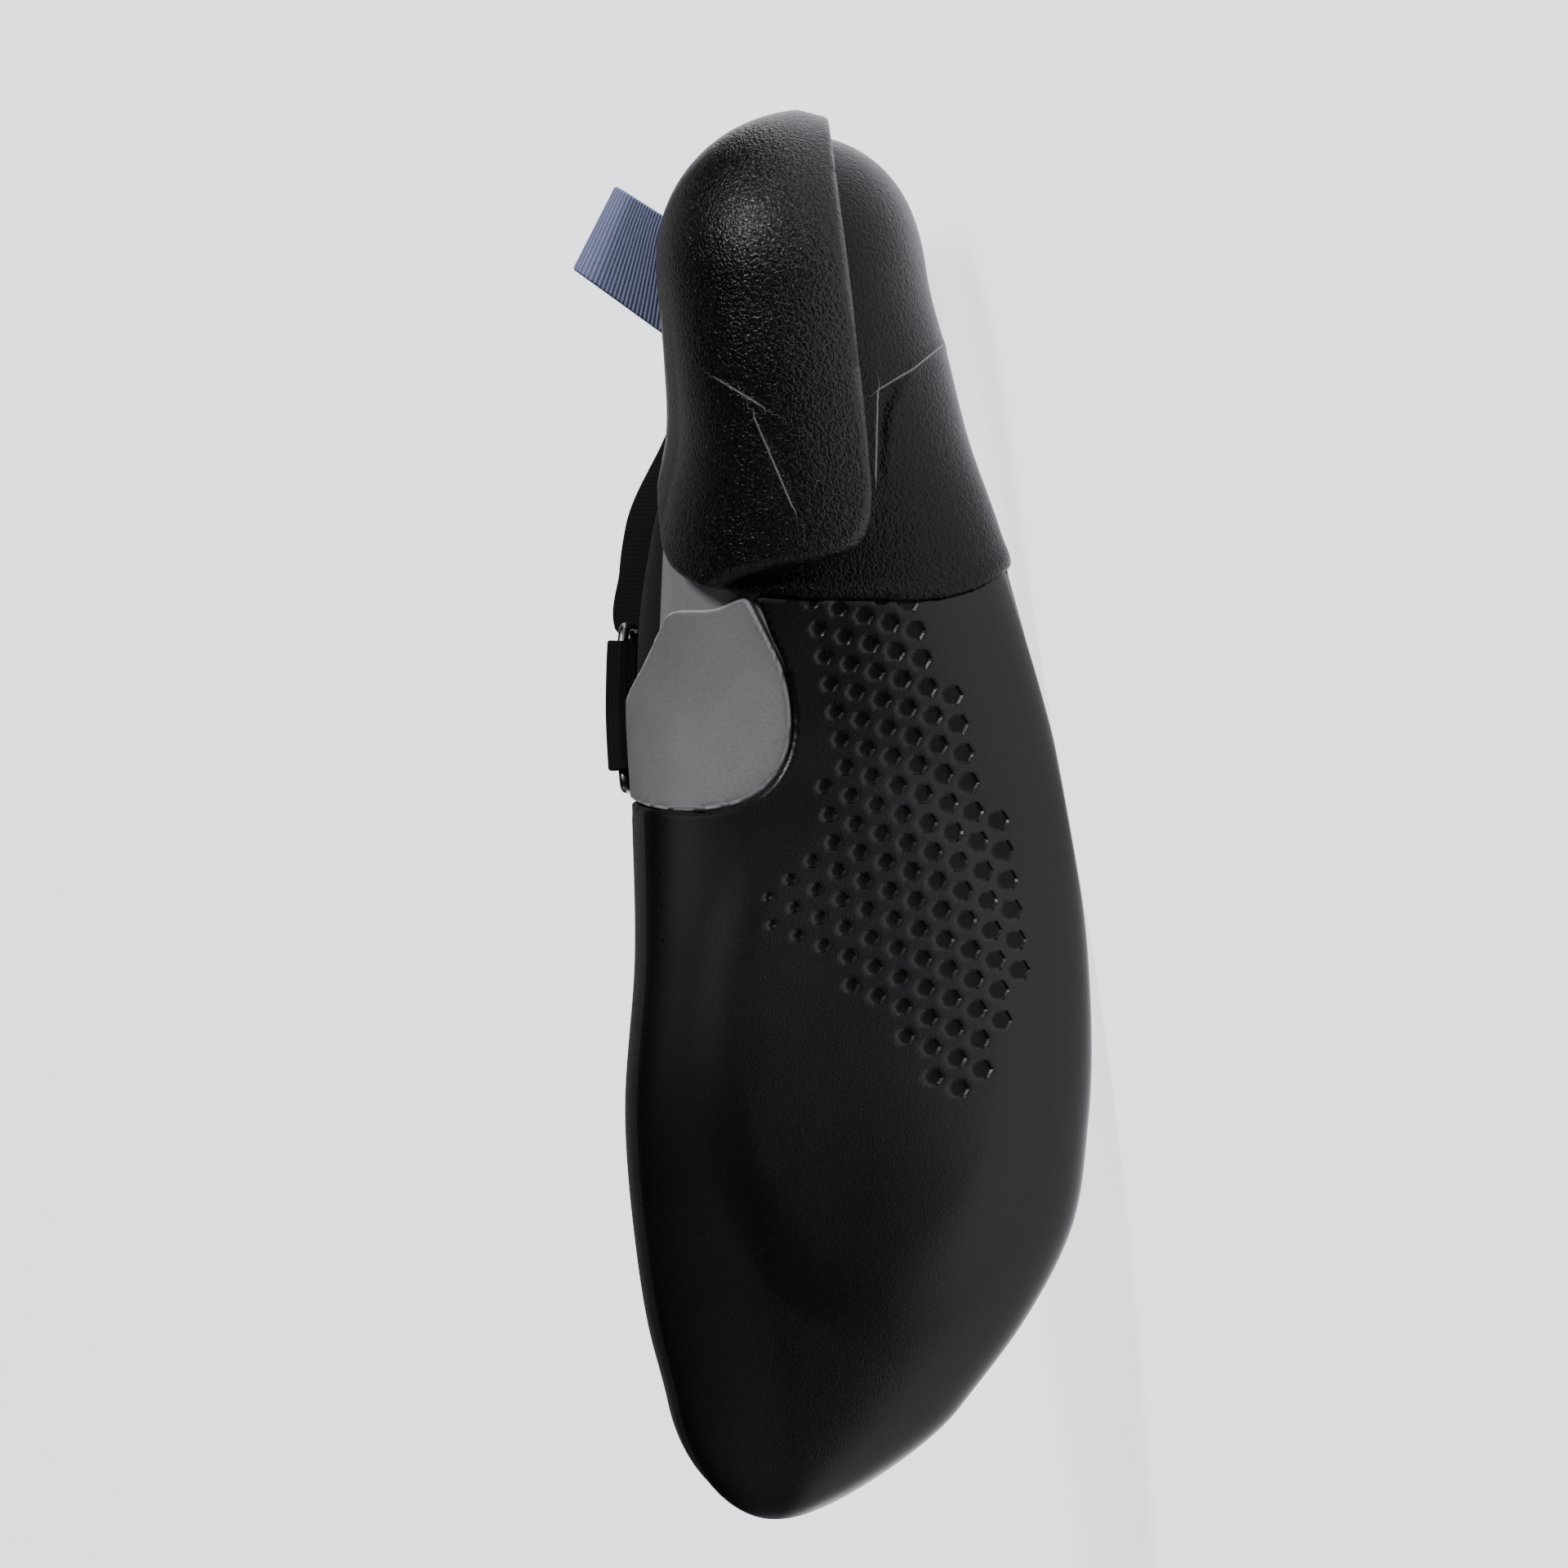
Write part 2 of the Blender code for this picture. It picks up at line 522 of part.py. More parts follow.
def make_collar():
    """Padded band on the rim, from the strap's inner edge round the heel to its outer edge.

    Its section is a capsule from the rim outwards: round at the back, and drawn out into a flap
    at the inner side and into a bulge at the outer side.
    """
    back = 10.9
    spread = 1 - np.cos(np.linspace(0, math.pi / 2, 11))
    low_line, high_line = [], []
    for inner, front, out, rise in ((True, 0.36 * LENGTH, 6.0, 8.0), (False, 0.285 * LENGTH, -4.6, 2.0)):
        x = back + (front - back) * spread
        flare = np.clip((x - 44.0) / 30.0, 0, 1)
        flare = flare * flare * (3 - 2 * flare) if inner else np.exp(-((x - 56.0) / 10.0) ** 2)
        low = body(x, rim_line(x, inner), -0.5 * WALL)
        low[:, 1] += 0.35 * out * flare
        low[:, 2] += ROLL_RADIUS + 2 * GAP
        high = low + np.stack([0 * x, 0.65 * out * flare, rise * flare], axis=-1)
        low_line.append(low[::-1] if inner else low[1:])
        high_line.append(high[::-1] if inner else high[1:])
    low, high = np.concatenate(low_line), np.concatenate(high_line)
    run = np.gradient((low + high) / 2, axis=0)
    run /= np.linalg.norm(run, axis=-1, keepdims=True)
    tall = high - low + np.array([0, 0, 0.01])
    tall -= run * np.sum(tall * run, axis=-1, keepdims=True)
    tall /= np.linalg.norm(tall, axis=-1, keepdims=True)
    side = np.cross(run, tall)
    angle = np.radians([-90, -60, -30, 0, 30, 60, 90, 90, 120, 150, 180, 210, 240, 270])
    upper_half = (np.arange(len(angle)) < 7)[None, :, None]
    middle = np.where(upper_half, high[:, None], low[:, None])
    lengthwise = np.cos(angle)[None, :, None] * tall[:, None]
    crosswise = np.sin(angle)[None, :, None] * side[:, None]
    return tube("collar", middle + ROLL_RADIUS * (lengthwise + crosswise))


def tube(name, rings):
    """Closed solid through a row of rings, with flat ends."""
    count, around = rings.shape[:2]
    index = np.arange(count * around).reshape(count, around)
    turned = np.roll(index, -1, axis=1)
    quads = np.stack([index[:-1], turned[:-1], turned[1:], index[1:]], axis=-1).reshape(-1, 4)
    faces = quads.tolist() + [index[0, ::-1].tolist(), index[-1].tolist()]
    mesh = bpy.data.meshes.new(name)
    mesh.from_pydata((rings.reshape(-1, 3) * MM).tolist(), [], faces)
    return finished(name, mesh)


def from_curve(name, wire):
    """Mesh object of a bevelled curve with its caps welded."""
    guide = bpy.data.objects.new(name + "_route", wire)
    bpy.context.scene.collection.objects.link(guide)
    view = bpy.context.evaluated_depsgraph_get()
    mesh = bpy.data.meshes.new_from_object(guide.evaluated_get(view))
    bpy.data.objects.remove(guide)
    return finished(name, mesh)


def strap_sheet(name, route, centre, half):
    """Webbing whose two faces follow a route of (line, back lift, front line, front lift)."""
    across = np.linspace(-1, 1, 5)[None, :]
    back_t, back_d, front_t, front_d = (np.array(c)[:, None] for c in zip(*route))
    back = body(centre(back_t) + across * half(back_t), back_t, back_d + 0 * across)
    front = body(centre(front_t) + across * half(front_t), front_t, front_d + 0 * across)
    return solid(name, back, front)


def hook(line, upwards, per_mm, steps=7):
    """Half turn of webbing round a bar at a line, from the upper's face outwards."""
    inside = WIRE_RADIUS + GAP
    centre = GAP + WEBBING + inside
    route = []
    for angle in np.linspace(-math.pi / 2, math.pi / 2, steps):
        way = math.cos(angle) * (1 if upwards else -1) * per_mm
        far, near = inside + WEBBING, inside
        route.append((line + way * far, centre + far * math.sin(angle),
                      line + way * near, centre + near * math.sin(angle)))
    return route


LINE_PER_MM = 0.019
RING_LOW = 1.07
RING_HIGH = 1.25
RING_START = 0.37 * LENGTH
RING_END = 0.482 * LENGTH


def strap_centre(t):
    """Middle of the strap along the shoe, from the ring over the instep to its outer end."""
    return curve(t, [1.0, 1.3, 2.0, 2.86], [106.0, 105.5, 99.5, 81.5])


def strap_half(t):
    """Half the strap's width."""
    return curve(t, [1.0, 1.3, 2.0, 2.86], [11.0, 11.5, 12.5, 8.2])


def make_strap():
    """Hook-and-loop strap from its outer end over the instep, turned back through the ring."""
    outside = GAP + 2 * (WIRE_RADIUS + GAP) + 2 * WEBBING
    route = [(RING_HIGH + 0.26, outside, RING_HIGH + 0.26, outside - WEBBING),
             (RING_HIGH + 0.13, outside, RING_HIGH + 0.13, outside - WEBBING)]
    route += hook(RING_HIGH, False, LINE_PER_MM)[::-1]
    for t in np.linspace(RING_HIGH + 0.1, 2.86, 20):
        thick = WEBBING + 2.2 * np.clip((t - 2.3) / 0.2, 0, 1)
        route.append((t, GAP, t, GAP + thick))
    return strap_sheet("strap", route, strap_centre, strap_half)


def make_strap_tab():
    """Short tab that holds the ring, folded over its lower bar."""
    outside = GAP + 2 * (WIRE_RADIUS + GAP) + 2 * WEBBING
    route = [(1.012, GAP, 1.012, GAP + WEBBING)]
    route += hook(RING_LOW, True, LINE_PER_MM)
    route += [(1.012, outside, 1.012, outside - WEBBING)]
    return strap_sheet("strap_tab", route, lambda t: 106.0 + 0 * t, lambda t: 11.2 + 0 * t)


def make_ring():
    """Wire ring, an oblong bent from one rod, its long bars along the shoe."""
    lift = GAP + WEBBING + GAP + WIRE_RADIUS
    bend = 2.4
    x = np.linspace(RING_START + bend, RING_END - bend, 6)
    ends = np.array([RING_START, RING_END])
    bars = [body(x, RING_LOW, lift), body(x[::-1], RING_HIGH, lift)]
    corners = [body(ends[::-1], RING_LOW, lift)[0], body(ends, RING_HIGH, lift)[1],
               body(ends, RING_HIGH, lift)[0], body(ends, RING_LOW, lift)[0]]
    path = []
    for bar, before, after in ((bars[0], corners[0], corners[1]), (bars[1], corners[2], corners[3])):
        path += list(bar)
        side = (after - before) / np.linalg.norm(after - before) * bend
        for u in (0.33, 0.67, 1.0):
            path.append((1 - u) ** 2 * bar[-1] + 2 * u * (1 - u) * before + u * u * (before + side))
        other = bars[1][0] if bar is bars[0] else bars[0][0]
        for u in (0.0, 0.33, 0.67):
            path.append((1 - u) ** 2 * (after - side) + 2 * u * (1 - u) * after + u * u * other)
    wire = bpy.data.curves.new("ring", "CURVE")
    wire.dimensions = "3D"
    wire.bevel_depth = WIRE_RADIUS * MM
    wire.bevel_resolution = 2
    spline = wire.splines.new("POLY")
    spline.points.add(len(path) - 1)
    for place, point in zip(spline.points, path):
        place.co = (*(point * MM), 1.0)
    spline.use_cyclic_u = True
    return from_curve("ring", wire)


LOOP_THICK = 1.3
LOOP_RISE = 3.3
LOOP_Z = 66.0
LOOP_ROOT = [Plan(22.7, 27.0), Plan(43.6, 27.0)]
LOOP_FOLD = [Plan(13.2, 43.2), Plan(28.1, 50.8)]


def make_pull_loop():
    """Flat webbing loop sewn to the inner side of the heel, with a slim eye at its fold."""
    across = np.linspace(0, 1, 4)
    spread = np.linspace(0, 1, 7)
    way = np.concatenate([spread * 0.83, 0.83 + 0.17 * np.sin(np.linspace(0.2, math.pi - 0.2, 9)),
                          (spread * 0.83)[::-1]])
    level = np.concatenate([-0.95 - (LOOP_RISE - 0.95) * spread ** 1.5,
                            -LOOP_RISE * np.cos(np.linspace(0.2, math.pi - 0.2, 9)),
                            (0.95 + (LOOP_RISE - 0.95) * spread ** 1.5)[::-1]])
    x = LOOP_ROOT[0].x + (LOOP_ROOT[1].x - LOOP_ROOT[0].x) * across
    columns = sections(x)
    up = (LOOP_Z - columns["med_z"]) / (columns["top"] - columns["med_z"])
    line = 1 + np.arctan2(up, np.sqrt(1 - up * up)) / (math.pi / 2)
    root = body(x, line, GAP + 0.2)
    root[:, 2] = LOOP_Z
    fold_x = LOOP_FOLD[0].x + (LOOP_FOLD[1].x - LOOP_FOLD[0].x) * across
    fold_y = LOOP_FOLD[0].y + (LOOP_FOLD[1].y - LOOP_FOLD[0].y) * across
    tip = np.stack([fold_x, fold_y, LOOP_Z + 0 * fold_x], axis=-1)
    tip -= (tip - root) / np.linalg.norm(tip - root, axis=-1, keepdims=True) * LOOP_THICK / 2
    middle = root + (tip - root) * way[:, None, None]
    middle[..., 2] += level[:, None]
    run = np.gradient(middle, axis=0)
    wide = np.gradient(middle, axis=1)
    normal = np.cross(run, wide)
    normal /= np.linalg.norm(normal, axis=-1, keepdims=True)
    half = normal * LOOP_THICK / 2
    return solid("pull_loop", middle - half, middle + half)


def lie_down():
    """Turn of the shoe that puts the floor against its outer side, sole towards -Y, toe to -X."""
    up = Vector((math.tan(math.radians(LIE_YAW)), 1.0, -math.tan(math.radians(LIE_ROLL)))).normalized()
    side = Vector((-1.0, 0.0, 0.0))
    side = (side - up * side.dot(up)).normalized()
    return Matrix((side, up.cross(side), up)), up


def floor_cutter(up):
    """Block under the floor, which leaves the flats that the shoe lies on."""
    depth = 60.0
    bpy.ops.mesh.primitive_cube_add(size=1.0)
    block = bpy.context.object
    block.name = "cut_floor_flats"
    for link in list(block.users_collection):
        link.objects.unlink(block)
    block.data.transform(Matrix.Diagonal((0.5, 0.5, depth * MM, 1.0)))
    turn = Vector((0, 0, 1)).rotation_difference(up)
    block.data.transform(turn.to_matrix().to_4x4())
    middle = Vector((LENGTH / 2, 0, INSTEP_HEIGHT / 2))
    middle -= up * (middle.dot(up) - FLOOR_OFFSET * up.y + depth / 2)
    block.data.transform(Matrix.Translation(middle * MM))
    return as_cutter(block)


def place_on_floor(turn):
    """Set the empty so that the lying shoe is centred over the origin with its lowest face at 0."""
    view = bpy.context.evaluated_depsgraph_get()
    points = []
    for made in parts.objects:
        mesh = made.evaluated_get(view).to_mesh()
        flat = np.empty(len(mesh.vertices) * 3)
        mesh.vertices.foreach_get("co", flat)
        points.append(flat.reshape(-1, 3))
        made.evaluated_get(view).to_mesh_clear()
    turned = np.concatenate(points) @ np.array(turn).T
    low, high = turned.min(axis=0), turned.max(axis=0)
    lie.matrix_world = turn.to_4x4()
    lie.location = (-(low[0] + high[0]) / 2, -(low[1] + high[1]) / 2, -low[2])


for old in list(bpy.data.objects):
    bpy.data.objects.remove(old)

parts = bpy.data.collections.new(BODY_NAME)
cutters = bpy.data.collections.new(BODY_NAME + "_cutters")
bpy.context.scene.collection.children.link(parts)
bpy.context.scene.collection.children.link(cutters)
lie = bpy.data.objects.new("lie", None)
bpy.context.scene.collection.objects.link(lie)

microfibre = finish_of("grey_microfibre", "6A6A6B", 0.85)
suede = finish_of("grey_suede", "6E6E6E", 0.95)
sole_rubber = finish_of("sole_rubber", "1B1B1C", 0.55)
moulded_rubber = finish_of("moulded_rubber", "1E1E1F", 0.6)
rand_rubber = finish_of("rand_rubber", "222223", 0.6)
black_webbing = finish_of("black_webbing", "131314", 0.9)
black_knit = finish_of("black_knit", "1A1A1B", 0.95)
black_mesh = finish_of("black_mesh", "202022", 0.95)
board = finish_of("insole_board", "3A3A3C", 0.9)
steel = finish_of("ring_steel", "9A9A9C", 0.3, 1.0)
blue_webbing = finish_of("blue_webbing", "4B516B", 0.85)

turn, up = lie_down()
floor = floor_cutter(up)
add_part(make_upper(), microfibre)
outsole = add_part(make_outsole(), sole_rubber)
add_part(make_heel_cup(), moulded_rubber)
toe_rand = add_part(make_toe_rand(), rand_rubber)
add_part(make_arch_panel(), suede)
add_part(make_tongue(), black_mesh)
add_part(make_insole(), board)
collar = add_part(make_collar(), black_knit)
strap = add_part(make_strap(), black_webbing)
add_part(make_strap_tab(), black_webbing)
add_part(make_ring(), steel)
add_part(make_pull_loop(), blue_webbing)
for touching in (outsole, toe_rand, collar, strap):
    cut(touching, floor)

place_on_floor(turn)
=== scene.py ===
"""Looks of the right-foot climbing shoe, lying empty on its outer side.

Every piece is a surface over the shoe's last, worked out standing and in millimetres, with x from
heel to toe, y towards the inner side of the foot and z up, and then laid down in metres.
"""

import math

import bpy
import numpy as np
from mathutils import Matrix, Vector


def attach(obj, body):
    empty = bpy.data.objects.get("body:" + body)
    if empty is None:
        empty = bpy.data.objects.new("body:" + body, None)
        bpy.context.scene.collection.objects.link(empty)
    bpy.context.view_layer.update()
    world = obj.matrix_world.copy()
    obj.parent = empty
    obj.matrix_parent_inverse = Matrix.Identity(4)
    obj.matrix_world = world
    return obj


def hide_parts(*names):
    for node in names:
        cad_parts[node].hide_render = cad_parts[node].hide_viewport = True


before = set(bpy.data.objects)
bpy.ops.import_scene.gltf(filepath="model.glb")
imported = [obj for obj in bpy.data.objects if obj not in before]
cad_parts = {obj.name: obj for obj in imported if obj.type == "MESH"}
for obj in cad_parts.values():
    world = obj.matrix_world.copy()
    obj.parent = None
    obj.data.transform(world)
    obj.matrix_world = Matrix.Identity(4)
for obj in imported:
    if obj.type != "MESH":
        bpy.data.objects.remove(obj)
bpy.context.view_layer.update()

# Sizes of the shoe and thicknesses of its layers
LENGTH = 250.0
BALL_WIDTH = 82.0
INSTEP_HEIGHT = 80.0
HEEL_HEIGHT = 84.0
WALL = 2.0
GAP = 0.3
SOLE_BALL = 3.7
SOLE_WAIST = 2.3
SOLE_SIDE = 2.4
TOE_EDGE = 2.7
CUP = 2.4
PAD_RISE = 4.4
RAND = 1.5
PANEL = 1.6
WEBBING = 1.4
TONGUE = 3.0
INSOLE = 1.8
ROLL_RADIUS = 3.0
PIPING_RADIUS = 0.75
WIRE_RADIUS = 1.0
UNDER_WALL = -WALL - GAP

# Power of the outer flank's superellipse, and the throat's half width in lines t
OUTER_FLANK = 1.7
THROAT = 0.34

# Size of a ring that counts as one point, a distance that counts as out of reach, the cells of the
# heel's grids, and the scale at which the wave texture has one band a millimetre
POLE_SIZE = 0.2
FAR = 99.0
HEEL_CELL = 0.6
BAND_SCALE = 0.31416

# How the shoe lies on the floor: turned by two angles in degrees, then moved in millimetres, and
# over what height it is pressed flat
LIE_ROLL = 10.0
LIE_YAW = 7.5
LIE_PLACE = np.array([123.13, -52.58, 23.78])
LIE_PRESS = 0.3

# Sections of the last from heel to toe, in percent of the driving sizes
COLUMNS = ("along", "med", "lat", "keel", "ridge", "low", "top", "med_z", "lat_z", "med_n", "lat_n")
SECTIONS = np.array([
    (3.0, 37.0, -12.0, 11.5, 12.8, 15.0, 162.0, 47.0, 47.0, 2.2, 2.2),
    (12.0, 36.4, -11.8, 11.2, 12.8, 15.0, 162.0, 47.0, 46.0, 2.2, 2.2),
    (18.0, 36.4, -16.4, 10.6, 12.8, 15.5, 162.0, 49.0, 44.0, 2.2, 2.2),
    (24.0, 37.6, -21.0, 8.5, 12.2, 17.5, 159.0, 57.0, 42.0, 2.1, 2.2),
    (30.0, 43.0, -27.4, 6.0, 11.6, 20.6, 142.0, 68.0, 40.0, 2.0, 2.2),
    (35.0, 46.6, -31.8, 3.7, 11.0, 23.0, 126.0, 72.0, 38.0, 2.0, 2.2),
    (42.0, 48.0, -37.4, 1.2, 10.0, 24.2, 111.0, 68.0, 34.0, 2.1, 2.2),
    (50.0, 46.8, -42.8, 0.0, 9.4, 21.0, 100.6, 54.0, 28.0, 2.4, 2.3),
    (60.0, 46.0, -46.4, 0.0, 10.0, 12.0, 87.5, 35.0, 20.0, 2.8, 2.4),
    (72.0, 48.0, -46.4, 0.4, 11.0, 5.5, 68.0, 22.5, 16.5, 3.2, 2.5),
    (80.0, 46.0, -42.2, 2.0, 13.4, 5.7, 54.0, 19.5, 16.0, 3.2, 2.6),
    (86.0, 43.2, -32.4, 5.0, 15.6, 6.6, 43.0, 18.0, 16.0, 3.2, 2.8),
    (92.0, 38.6, -18.0, 11.0, 17.2, 6.2, 34.0, 16.5, 15.5, 3.0, 2.8),
    (98.8, 36.2, -0.5, 17.7, 17.7, 5.0, 26.0, 15.0, 15.0, 3.0, 2.8),
])

# Edges seen from the side: x and z in percent of length and heel height
RIM = np.array([(-2, 101), (2.5, 100), (8, 92), (16, 84.5), (23, 83.5), (30, 89), (35, 94),
                (39, 98.5), (43, 107), (47, 120)], float)
CUP_TOP = np.array([(-2, 75), (8, 71), (18, 63), (28, 51.5), (38, 47)], float)
RAND_TOP = np.array([(28, 46), (33, 48), (38, 50), (45, 50.5), (55, 47), (66, 44), (74, 53),
                     (80, 74)], float)

# Outlines seen from below, x and y in millimetres
PANEL_PLAN = [(88.2, 18.6), (94.2, 15.6), (99.5, 13.2), (106.0, 11.8), (112.5, 11.8), (117.8, 13.6),
              (121.6, 16.8), (124.2, 22.0), (125.2, 29.0), (124.6, 36.0), (123.0, 46.0),
              (110.5, 46.0), (109.0, 41.2), (103.5, 39.2), (98.5, 36.6), (94.0, 34.6),
              (89.8, 32.2), (89.2, 25.0)]
PANEL_SOLE_SIDES = 9
PER_SIDE = 6
PANEL_TURN = [(124.9, 33.5), (123.6, 37.8), (120.6, 40.4), (115.0, 42.4)]
PANEL_TIP = [(87.3, 20.0)]
PAD_PLAN = [(-12.0, 30.0), (-12.0, 8.4), (-4.0, 7.3), (6.0, 5.7), (20.0, 3.9), (33.0, 2.2),
            (46.0, 0.6), (56.0, -0.7), (64.0, -1.6), (72.0, -2.2), (76.5, -1.2), (79.2, 1.8),
            (81.2, 9.6), (82.6, 16.0), (84.6, 22.0), (91.0, 32.0), (96.0, 60.0), (20.0, 60.0),
            (-12.0, 60.0)]
CUP_FRONT = [(50.0, 46.0), (56.5, 34.6), (65.0, 33.2), (73.5, 32.8), (78.6, 31.8), (82.6, 28.9),
             (86.0, 21.2), (87.2, 14.0), (87.6, -4.4), (87.6, -12.0), (86.8, -17.0), (85.2, -21.4),
             (82.0, -25.4), (74.0, -32.0)]
AHEAD = [(130.0, -60.0), (130.0, 80.0)]
BEHIND = [(-30.0, -60.0), (-30.0, 80.0)]

# Shapes let into the heel's rubber: two creases on the inner pad, and on the outer lobe a notch,
# steep on its left and gentle on its right, and a raised crease that runs on from it
PAD_LINES = [((48.5, 25.1), (53.7, 16.7)), ((55.3, 18.4), (71.4, 11.5))]
NOTCH_LEFT = [(46.9, -9.6), (50.6, -3.6), (66.0, -3.2), (68.5, -4.5)]
NOTCH_RIGHT = [(68.5, -4.5), (55.3, -6.1), (46.9, -9.6)]
LOBE_LINES = [((42.4, -15.0), (46.9, -9.6)), ((46.9, -9.6), (50.6, -3.6)),
              ((50.6, -3.6), (66.0, -3.2))]
PAD_LINE_DEPTH = 0.55
NOTCH_DEPTH = 0.9

# Line on the inner side, x and y, outside which the upper is black cloth instead of grey
BLACK_SIDE = [(30.0, 32.6), (56.3, 33.4), (80.0, 34.6), (95.0, 35.2), (112.0, 39.0)]

# Dimples under the arch: a slightly bowed lattice with steps to the outer side and to the toe,
# how far each row reaches, and their width across the flats by column
DIMPLE_X = (125.65, 1.639, 4.953, 0.0014, 0.0438, 0.0092)
DIMPLE_Y = (5.13, -4.52, -0.78, 0.006, 0.008, 0.0215)
DIMPLE_ROWS = {-9: (3, 5), -8: (1, 5), -7: (1, 5), -6: (1, 6), -5: (1, 6), -4: (1, 6), -3: (1, 6),
               -2: (1, 7), -1: (0, 7), 0: (0, 7), 1: (0, 7), 2: (-1, 7), 3: (-2, 7), 4: (-3, 6),
               5: (-3, 6), 6: (0, 5), 7: (2, 5), 8: (3, 4)}
DIMPLE_WIDTH = [(-3, 1.8), (-2, 2.2), (-1, 2.5), (0, 2.8), (2, 3.1), (4, 3.5), (7, 3.9)]
DIMPLE_DEPTH = 0.2
DIMPLE_WALL = 0.5

# Rows of small dots along the sole's inner edge: first and last station and distance from the edge
DOT_ROWS = ((131.0, 204.0, 2.6), (133.0, 152.0, 5.8))
DOT_STEP = 6.0
DOT_RADIUS = 0.55

# Outer edge of the sole: lines t by shares of the length
SOLE_OUTER = np.array([(0.34, 0.8), (0.45, 0.93), (0.54, 1.02), (0.8, 1.0), (0.9, 0.9),
                       (1.0, 0.85)])

# Low dome of the sole under the ball of the foot
DOME_CENTRE = (166.0, -2.0)
DOME_HALF = (53.0, 32.0)
DOME_RISE = 0.8

# The ring between two lines and two stations, and how far out webbing lies that has turned round it
LINE_PER_MM = 0.019
RING_LOW = 1.07
RING_HIGH = 1.25
RING_START = 0.37 * LENGTH
RING_END = 0.482 * LENGTH
RING_POWER = 2 / 6.0
RING_OUTSIDE = GAP + 2 * (WIRE_RADIUS + GAP) + 2 * WEBBING

# The pull loop's root, from one station to another, and the two ends of its fold
LOOP_THICK = 1.3
LOOP_RISE = 3.3
LOOP_Z = 66.0
LOOP_ROOT = (22.7, 43.6)
LOOP_FOLD = [(13.2, 43.2, LOOP_Z), (28.1, 50.8, LOOP_Z)]

# Ends of the last, and the lengths over which it closes there, seen from below and from the side
HEEL_X = SECTIONS[0, 0] * LENGTH / 100
TOE_X = SECTIONS[-1, 0] * LENGTH / 100
HEEL_PLAN_ROUND = 22.0
HEEL_SIDE_ROUND = 24.0
TOE_PLAN_ROUND = 18.0
TOE_SIDE_ROUND = 11.0


def curve(x, knots, values):
    """Cubic through the knots, each slope taken from the neighbouring knots."""
    knots, values = np.asarray(knots, float), np.asarray(values, float)
    gaps = np.diff(knots)
    rises = np.diff(values) / gaps
    inner = (rises[:-1] * gaps[1:] + rises[1:] * gaps[:-1]) / (gaps[:-1] + gaps[1:])
    slopes = np.concatenate([rises[:1], inner, rises[-1:]])
    x = np.clip(np.asarray(x, float), knots[0], knots[-1])
    i = np.clip(np.searchsorted(knots, x) - 1, 0, len(gaps) - 1)
    u = (x - knots[i]) / gaps[i]
    first = (1 + 2 * u) * (1 - u) ** 2 * values[i] + u * (1 - u) ** 2 * gaps[i] * slopes[i]
    second = u * u * (3 - 2 * u) * values[i + 1] - u * u * (1 - u) * gaps[i] * slopes[i + 1]
    return first + second


def smooth(value):
    """0 below 0, 1 above 1, and the cubic 3u^2 - 2u^3 between."""
    u = np.clip(value, 0, 1)
    return u * u * (3 - 2 * u)


def unit(vectors, least=0.0):
    """Vectors brought to length 1, those shorter than the least length only divided by it."""
    return vectors / np.maximum(np.linalg.norm(vectors, axis=-1, keepdims=True), least)


def square_to(vectors, run):
    """Vectors of length 1 square to a run of unit vectors."""
    return unit(vectors - run * np.sum(vectors * run, axis=-1, keepdims=True))


def running(points):
    """Length run along each row of points, from 0 at its first."""
    steps = np.linalg.norm(np.diff(points, axis=-2), axis=-1)
    return np.concatenate([0 * steps[..., :1], np.cumsum(steps, axis=-1)], axis=-1)


def round_cord(path, up, side, radius, count):
    """Rings of count points round a path, in the plane of its up and side vectors."""
    turn = np.linspace(0, 2 * math.pi, count, endpoint=False)[None, :, None]
    return path[:, None] + radius * (np.cos(turn) * up[:, None] + np.sin(turn) * side[:, None])


def heel_turn(count):
    """Stations round the heel, closer together towards its back."""
    return HEEL_X + HEEL_SIDE_ROUND * (1 - np.cos(np.linspace(0, math.pi / 2, count)))


def toe_turn(count, start=0.0):
    """Stations round the toe, closer together towards its tip."""
    return TOE_X - TOE_PLAN_ROUND * (1 - np.sin(np.linspace(start, math.pi / 2, count)))


def sections(x):
    """The section columns at x, widths and heights in millimetres."""
    units = [1] + [BALL_WIDTH / 100] * 4 + [INSTEP_HEIGHT / 100] * 4 + [1, 1]
    knots = SECTIONS[:, 0] * LENGTH / 100
    return {name: curve(x, knots, SECTIONS[:, i]) * units[i]
            for i, name in enumerate(COLUMNS) if i}


def closing(x, heel_round, toe_round, power=2.0):
    """1 along the shoe, falling to 0 at both ends as a superellipse."""
    heel = np.clip((HEEL_X + heel_round - x) / heel_round, 0, 1)
    toe = np.clip((x - TOE_X + toe_round) / toe_round, 0, 1)
    return (1 - heel ** 2.0) ** 0.5 * (1 - toe ** power) ** (1 / power)


